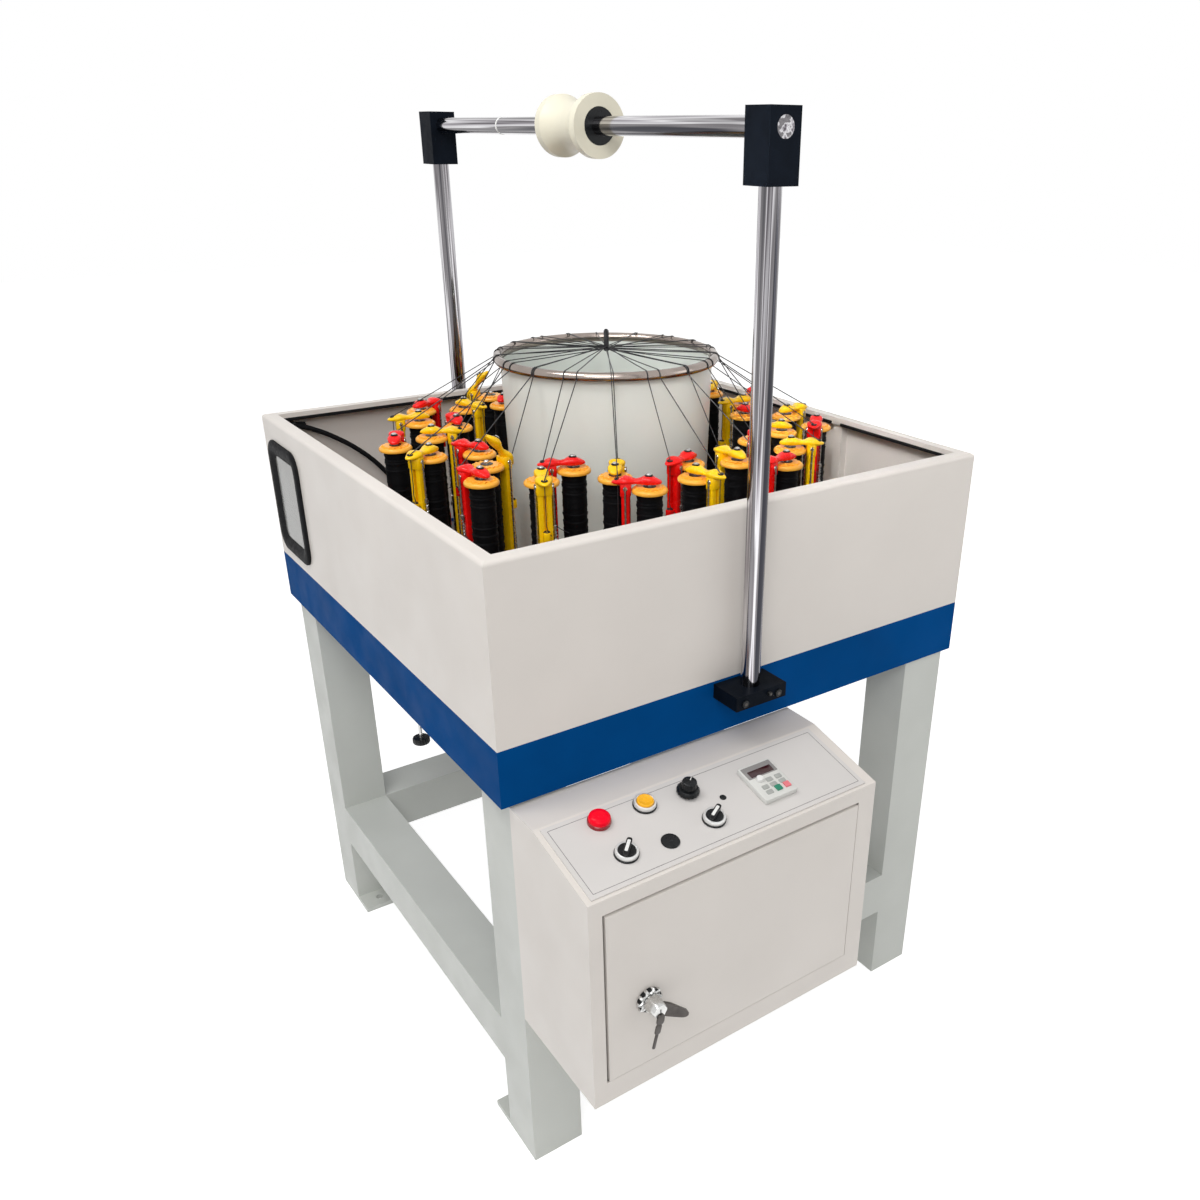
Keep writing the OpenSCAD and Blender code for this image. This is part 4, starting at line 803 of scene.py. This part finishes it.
knob = Shape()
knob.at = on_panel(*KNOB_AT)
knob.lathe(KNOB_SHAFT_FORM, STEEL, 14)
knob.lathe(KNOB_SKIRT_FORM, BLACK, 54, 18, 0.0007)
knob.lathe(KNOB_FORM, BLACK, 54, 18, 0.0005)
knob.at = knob.at @ rotate(KNOB_MARK_TURN, "Z")
knob.plate(0.0010, 0.0068, 0.0224, 0.0234, WHITE, 0.0004, 0.0002, (0, 0.0046))
put(knob, "speed_knob_cap", "speed_knob", "bush", "speed_knob")

plug = Shape()
plug.at = on_panel(*PLUG_AT)
plug.lathe(PLUG_FORM, BLACK, 40)
plug.at = on_panel(*SMALL_PLUG_AT)
plug.lathe(SMALL_PLUG_FORM, BLACK, 24)
put(plug, "panel_plug_cap", "frame", "bush", "panel_plug")

# Printed frame line of the panel
left, right = PLATE_X[0] + LINE_IN, PLATE_X[1] - LINE_IN
bottom, top = PLATE_S[0] + LINE_IN, PLATE_S[1] - LINE_IN
frame_line = Shape()
for x0, x1, s0, s1 in ((left, right, bottom, bottom), (left, right, top, top),
                       (left, left, bottom, top), (right, right, bottom, top)):
    frame_line.at = on_panel((x0 + x1) / 2, (s0 + s1) / 2)
    frame_line.plate(max(x1 - x0, LINE_W) / 1000, max(s1 - s0, LINE_W) / 1000, -0.0002, 0.00012, LINE,
                     0.0003, 0.00004)
put(frame_line, "panel_frame_line", "frame", "panel")

# Keypad: case, dark face with its display, and the keys
pad = Shape()
pad.at = on_panel(*KEYPAD_AT)
pad.plate(0.056, 0.0675, 0, 0.0088, PAD, 0.0028, 0.0016)
pad.plate(0.0505, 0.0225, 0.0080, 0.0092, PAD_DARK, 0.0012, 0.0004, (0, 0.0195))
pad.plate(0.0400, 0.0118, 0.0088, 0.0096, DISPLAY, 0.0008, 0.0003, (0, 0.0160))
for x, s in PAD_KEYS:
    pad.plate(0.0105, 0.0072, 0.0080, 0.0101, PAD_KEY, 0.0014, 0.0006, (x / 1000 + 0.001, s / 1000))
put(pad, "keypad_case", "frame", "pad", "keypad_body")
dial = Shape()
dial.at = on_panel(KEYPAD_AT[0] + DIAL_OFF[0], KEYPAD_AT[1] + DIAL_OFF[1])
dial.lathe(DIAL_FORM, WHITE, 40, 20, 0.0003)
put(dial, "keypad_dial_cap", "keypad_dial", "dial", "keypad_dial")

# Lock on the door: lobed rosette, wing handle with its keys, shaft and cam
LOCK_AT = move(-0.327, -0.6285, 0.451) @ rotate(90, "X")
ROSETTE_FORM = [(0.0180, 0), (0.0195, 0.0012), (0.0193, 0.0054), (0.0172, 0.0076), (0.0080, 0.0080)]
ROSETTE_BACK_FORM = [(0.0060, 0.0004), (0.0174, 0.0004), (0.0174, 0.0058), (0.0060, 0.0058)]
LOCK_SLEEVE_FORM = [(0.0080, -0.0115), (0.0080, 0.001)]
WING_HUB_FORM = [(0.0050, -0.0195), (0.0050, 0.0084), (0.0128, 0.0084), (0.0132, 0.0106), (0.0119, 0.0208),
                 (0.0114, 0.0276), (0.0100, 0.0296), (0.0030, 0.0298)]
BLADE_FORM = [(0, -0.0085), (0.012, -0.0100), (0.036, -0.0094), (0.0405, -0.0082), (0.0428, -0.0052),
              (0.0424, -0.0016), (0.0395, 0.0008), (0.012, 0.0080), (0, 0.0086)]
BLADE_HANG, BLADE_SWEEP, BLADE_AT = -25, -14, (0.0060, 0, 0.0220)
KEY_Z, KEY_BOW_L = 0.0308, 0.0165

rosette = Shape()
rosette.at = LOCK_AT
rosette.lathe(ROSETTE_FORM, STEEL, 80, 10, 0.0048)
rosette.lathe(ROSETTE_BACK_FORM, BLACK, 60)
rosette.lathe(LOCK_SLEEVE_FORM, STEEL, 28)
put(rosette, "lock_rosette", "door", "bright", "lock_body")
wing = Shape()
wing.at = LOCK_AT
wing.lathe(WING_HUB_FORM, STEEL, 36, 6, 0.0008)
wing.plate(0.0016, 0.0080, 0.0292, 0.0301, BLACK, 0.0005, 0.0002)
wing.plate(0.016, 0.082, -0.0195, -0.0155, STEEL, 0.003, 0.0006, (0, -0.033))
# Tapered wing, hanging a little and swept outwards
wing.at = LOCK_AT @ rotate(BLADE_HANG, "Z") @ move(*BLADE_AT) @ rotate(BLADE_SWEEP, "Y")
wing.prism(BLADE_FORM, -0.0030, 0.0024, DARK_STEEL)
# Two keys, one in the lock and one hanging from it
for x, y, tilt, bow, stem in ((0, -0.0040, -8, 0.0118, 0.0), (-0.0030, -0.0185, -14, 0.0092, 0.0240)):
    wing.at = LOCK_AT @ move(x, y, KEY_Z) @ rotate(tilt, "Z")
    wing.plate(bow, KEY_BOW_L, -0.0010, 0.0010, DARK_STEEL, bow * 0.42, 0.0004, (0, -0.0080))
    if stem:
        wing.plate(0.0046, stem, -0.0008, 0.0008, DARK_STEEL, 0.0016, 0.0003, (0, -0.0150 - stem / 2))
put(wing, "lock_wing", "lock", "steel", "lock_handle")

# Screws on the arch's base blocks and the tape mark on the bar
BLOCK_FACE_Y, BLOCK_MIDDLE_Z = 0.490, 0.746
BLOCK_SCREWS = ((0.030, -0.0015, 0.0055, 0.0030), (0.013, 0.0030, 0.0034, 0.0050),
                (-0.030, -0.0015, 0.0055, 0.0030))
TAPE_Y = 0.210
TAPE_FORM = [(0.0120, -0.0022), (0.01275, -0.0022), (0.01275, 0.0022), (0.0120, 0.0022)]

fittings = Shape()
for side in (-1, 1):
    face = move(ARCH_X, side * BLOCK_FACE_Y, BLOCK_MIDDLE_Z) @ rotate(-side * 90, "X")
    for x, y, r, h in BLOCK_SCREWS:
        fittings.at = face @ move(x, y, 0)
        fittings.lathe([(r, -0.0005), (r, h * 0.8), (r * 0.88, h)], BLACK, 24)
        fittings.lathe([(r * 0.5, h - 0.0008), (r * 0.5, h + 0.0002)], DARK_STEEL, 6)
fittings.at = move(ARCH_X, TAPE_Y, BAR_Z) @ rotate(90, "X")
fittings.lathe(TAPE_FORM, WHITE, 40, closed=True)
put(fittings, "arch_fittings", "frame", "block")

# Window seal: a rubber profile round the opening, inset and height, sloped down to the pane
SEAL_FORM = [(0, -0.0050), (0, 0.0040), (0.0016, 0.0060), (0.0050, 0.0072), (0.0130, 0.0072),
             (0.0165, 0.0060), (0.0260, 0.0021), (0.0260, 0.0017), (0.0104, 0.0017), (0.0104, -0.0017),
             (0.0140, -0.0017), (0.0140, -0.0050)]
SEAL_CORNER, SEAL_NARROWING, SEAL_STEPS = 0.030, 0.6, 8

low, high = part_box("window_gasket")
seal = Shape()
seal.at = move(*((low + high) / 2)) @ rotate(-90, "Z") @ rotate(90, "X")
seal_rings = []
for inset, z in SEAL_FORM:
    outline = rounded(high.y - low.y - 2 * inset, high.z - low.z - 2 * inset,
                      SEAL_CORNER - SEAL_NARROWING * inset, SEAL_STEPS)
    seal_rings.append([(x, y, z) for x, y in outline])
seal.loft(seal_rings, RUBBER, closed=True)
put(seal, "window_seal", "frame", "strand", "window_gasket")

# Painted shade: black strips on the lower edges of the guard's lips, parted at the stiffener, put where the
# shadow under the lips falls
LIP_IN, LIP_DROP = 0.02075, 0.0082
STIFFENER_Y, STIFFENER_HALF = -0.142, 0.011
LIP_SHADE_W, LIP_SHADE_UP, LIP_SHADE_SOFT = 0.0052, 0.0004, 0.0010

low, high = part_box("guard_right")
lip_x, lip_y, lip_z = high.x - LIP_IN, high.y - LIP_IN, high.z - LIP_DROP
lip_shade_strip = Shape()
for x0, y0, x1, y1 in ((lip_x, -lip_y, lip_x, STIFFENER_Y - STIFFENER_HALF),
                       (lip_x, STIFFENER_Y + STIFFENER_HALF, lip_x, lip_y), (-lip_x, -lip_y, -lip_x, lip_y),
                       (-lip_x, lip_y, lip_x, lip_y), (-lip_x, -lip_y, lip_x, -lip_y)):
    lip_shade_strip.at = move((x0 + x1) / 2, (y0 + y1) / 2, lip_z)
    lip_shade_strip.plate(max(x1 - x0, LIP_SHADE_W), max(y1 - y0, LIP_SHADE_W), -LIP_SHADE_W, LIP_SHADE_UP, RUBBER, LIP_SHADE_SOFT,
                 LIP_SHADE_SOFT)
put(lip_shade_strip, "guard_lip_shade_strip", "frame", "strand")

# Motor below the table
MOTOR_PLATE_W, MOTOR_PLATE_T, BOLT_OFF = 0.120, 0.012, 0.050
BOLT_FORM = [(0.0065, -0.0060), (0.0070, -0.0054), (0.0070, 0.001)]

low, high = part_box("drive_motor")
motor_at = move((low.x + high.x) / 2, (low.y + high.y) / 2, 0)
motor = Shape()
motor.at = motor_at
motor.plate(MOTOR_PLATE_W, MOTOR_PLATE_W, high.z - MOTOR_PLATE_T, high.z, DRIVE, 0.010, 0.0015)
motor.lathe([(0.0480, low.z + 0.0006), (0.0520, low.z + 0.004), (0.0530, low.z + 0.030),
             (0.0535, low.z + 0.031)], DRIVE, 60)
motor.lathe([(0.0530, low.z + 0.030), (0.0560, low.z + 0.033), (0.0560, high.z - 0.030),
             (0.0520, high.z - 0.026)], DRIVE, 240, 40, 0.0042)
motor.lathe([(0.0520, high.z - 0.028), (0.0520, high.z - 0.010)], DRIVE, 60)
for x, y in ((-1, -1), (-1, 1), (1, -1), (1, 1)):
    motor.at = motor_at @ move(x * BOLT_OFF, y * BOLT_OFF, high.z - MOTOR_PLATE_T)
    motor.lathe(BOLT_FORM, STEEL, 6)
put(motor, "motor_case", "frame", "drive", "drive_motor")

# Inverter in the cabinet: case, cover with its line, and louvres
LOUVRES, LOUVRE_STEP = 9, 0.0055

low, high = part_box("inverter")
inverter = Shape()
inverter.at = move(*((low + high) / 2)) @ rotate(90, "X")
w, d, h = high.x - low.x, high.z - low.z, high.y - low.y
inverter.plate(w, d, -h / 2, h / 2 - 0.022, CASE, 0.006, 0.002)
inverter.plate(w - 0.006, d - 0.006, h / 2 - 0.024, h / 2, PAD_DARK, 0.006, 0.003)
inverter.plate(w - 0.030, 0.0012, h / 2 - 0.001, h / 2 + 0.0004, BLACK, 0.0004, 0.0002, (0, -d * 0.16))
for i in range(LOUVRES):
    inverter.plate(w - 0.024, 0.0030, h / 2 - 0.001, h / 2 + 0.0006, CASE, 0.001, 0.0003,
                   (0, d * 0.12 + i * LOUVRE_STEP))
put(inverter, "inverter_case", "frame", "inverter", "inverter")

# Adjuster under the skirt: fluted grip on a threaded rod
THREAD_PITCH, THREAD_R, THREAD_ROOT_R = 0.003, 0.0030, 0.0025

low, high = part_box("adjuster_knob")
adjuster = Shape()
adjuster.at = move((low.x + high.x) / 2, (low.y + high.y) / 2, 0)
adjuster.lathe([(0.0128, low.z), (0.0140, low.z + 0.0014), (0.0140, low.z + 0.0086), (0.0128, low.z + 0.010),
                (0.0060, low.z + 0.0105)], BLACK, 72, 24, 0.0008)
threads = [(THREAD_R, low.z + 0.009)]
for i in range(int((high.z - low.z - 0.012) / THREAD_PITCH)):
    rise = i * THREAD_PITCH
    threads += [(THREAD_R, low.z + 0.0110 + rise), (THREAD_ROOT_R, low.z + 0.0125 + rise)]
threads.append((THREAD_R, high.z))
adjuster.lathe(threads, STEEL, 16)
put(adjuster, "adjuster_grip", "adjuster", "bush", "adjuster_knob")

# Floor, world and lights
FLOOR_HALF, FLOOR_GLOW = 12.0, 0.66
WORLD_LIGHT, WORLD_SEEN = 0.47, 1.0


def seen_by(tree):
    """1 for the rays that show the background: from the camera, off gloss and through glass."""
    rays = tree.nodes.new("ShaderNodeLightPath")
    total = rays.outputs["Is Camera Ray"]
    for kind in ("Is Glossy Ray", "Is Transmission Ray"):
        most = tree.nodes.new("ShaderNodeMath")
        most.operation = "MAXIMUM"
        tree.links.new(total, most.inputs[0])
        tree.links.new(rays.outputs[kind], most.inputs[1])
        total = most.outputs[0]
    return total


floor_data = bpy.data.meshes.new("floor")
floor_data.from_pydata([(-FLOOR_HALF, -FLOOR_HALF, 0), (FLOOR_HALF, -FLOOR_HALF, 0),
                        (FLOOR_HALF, FLOOR_HALF, 0), (-FLOOR_HALF, FLOOR_HALF, 0)], [], [(0, 1, 2, 3)])
floor = bpy.data.objects.new("floor", floor_data)
SCENE.collection.objects.link(floor)
floor_material, tree, bsdf = shader("floor_white")
set_inputs(bsdf, {"Base Color": (0.82, 0.82, 0.82, 1), "Roughness": 0.9})
glow = tree.nodes.new("ShaderNodeEmission")
mix = tree.nodes.new("ShaderNodeAddShader")
dim = tree.nodes.new("ShaderNodeMath")
dim.operation = "MULTIPLY"
dim.inputs[1].default_value = FLOOR_GLOW
tree.links.new(seen_by(tree), dim.inputs[0])
tree.links.new(dim.outputs[0], glow.inputs["Strength"])
tree.links.new(bsdf.outputs[0], mix.inputs[0])
tree.links.new(glow.outputs[0], mix.inputs[1])
tree.links.new(mix.outputs[0], tree.nodes["Material Output"].inputs["Surface"])
floor_data.materials.append(floor_material)

world = bpy.data.worlds.new("studio")
SCENE.world = world
world.use_nodes = True
tree = world.node_tree
background = tree.nodes["Background"]
set_inputs(background, {"Color": (1, 1, 1, 1)})
strength = tree.nodes.new("ShaderNodeMapRange")
set_inputs(strength, {"To Min": WORLD_LIGHT, "To Max": WORLD_SEEN})
tree.links.new(seen_by(tree), strength.inputs["Value"])
tree.links.new(strength.outputs["Result"], background.inputs["Strength"])


def softbox(name, at, target, size, power, beam=180):
    data = bpy.data.lights.new(name, "AREA")
    data.shape = "RECTANGLE"
    data.size, data.size_y = size
    data.energy = power
    data.spread = math.radians(beam)
    box = bpy.data.objects.new(name, data)
    box.location = at
    box.rotation_euler = (Vector(target) - Vector(at)).to_track_quat("-Z", "Y").to_euler()
    SCENE.collection.objects.link(box)


MIDDLE = (0, 0, 0.8)
softbox("key", (-1.9, -2.6, 3.1), MIDDLE, (1.8, 1.8), 50)
softbox("top", (-0.8, -0.9, 3.5), MIDDLE, (1.4, 1.4), 9)
softbox("side", (2.6, -2.2, 1.6), MIDDLE, (1.2, 2.0), 10)
softbox("inside", (-1.1, -0.2, 2.5), (0.40, 0.0, 0.95), (0.6, 0.6), 13)
softbox("wall", (-0.75, -0.95, 2.0), (0.43, -0.10, 0.94), (0.3, 0.3), 0.32, beam=22)
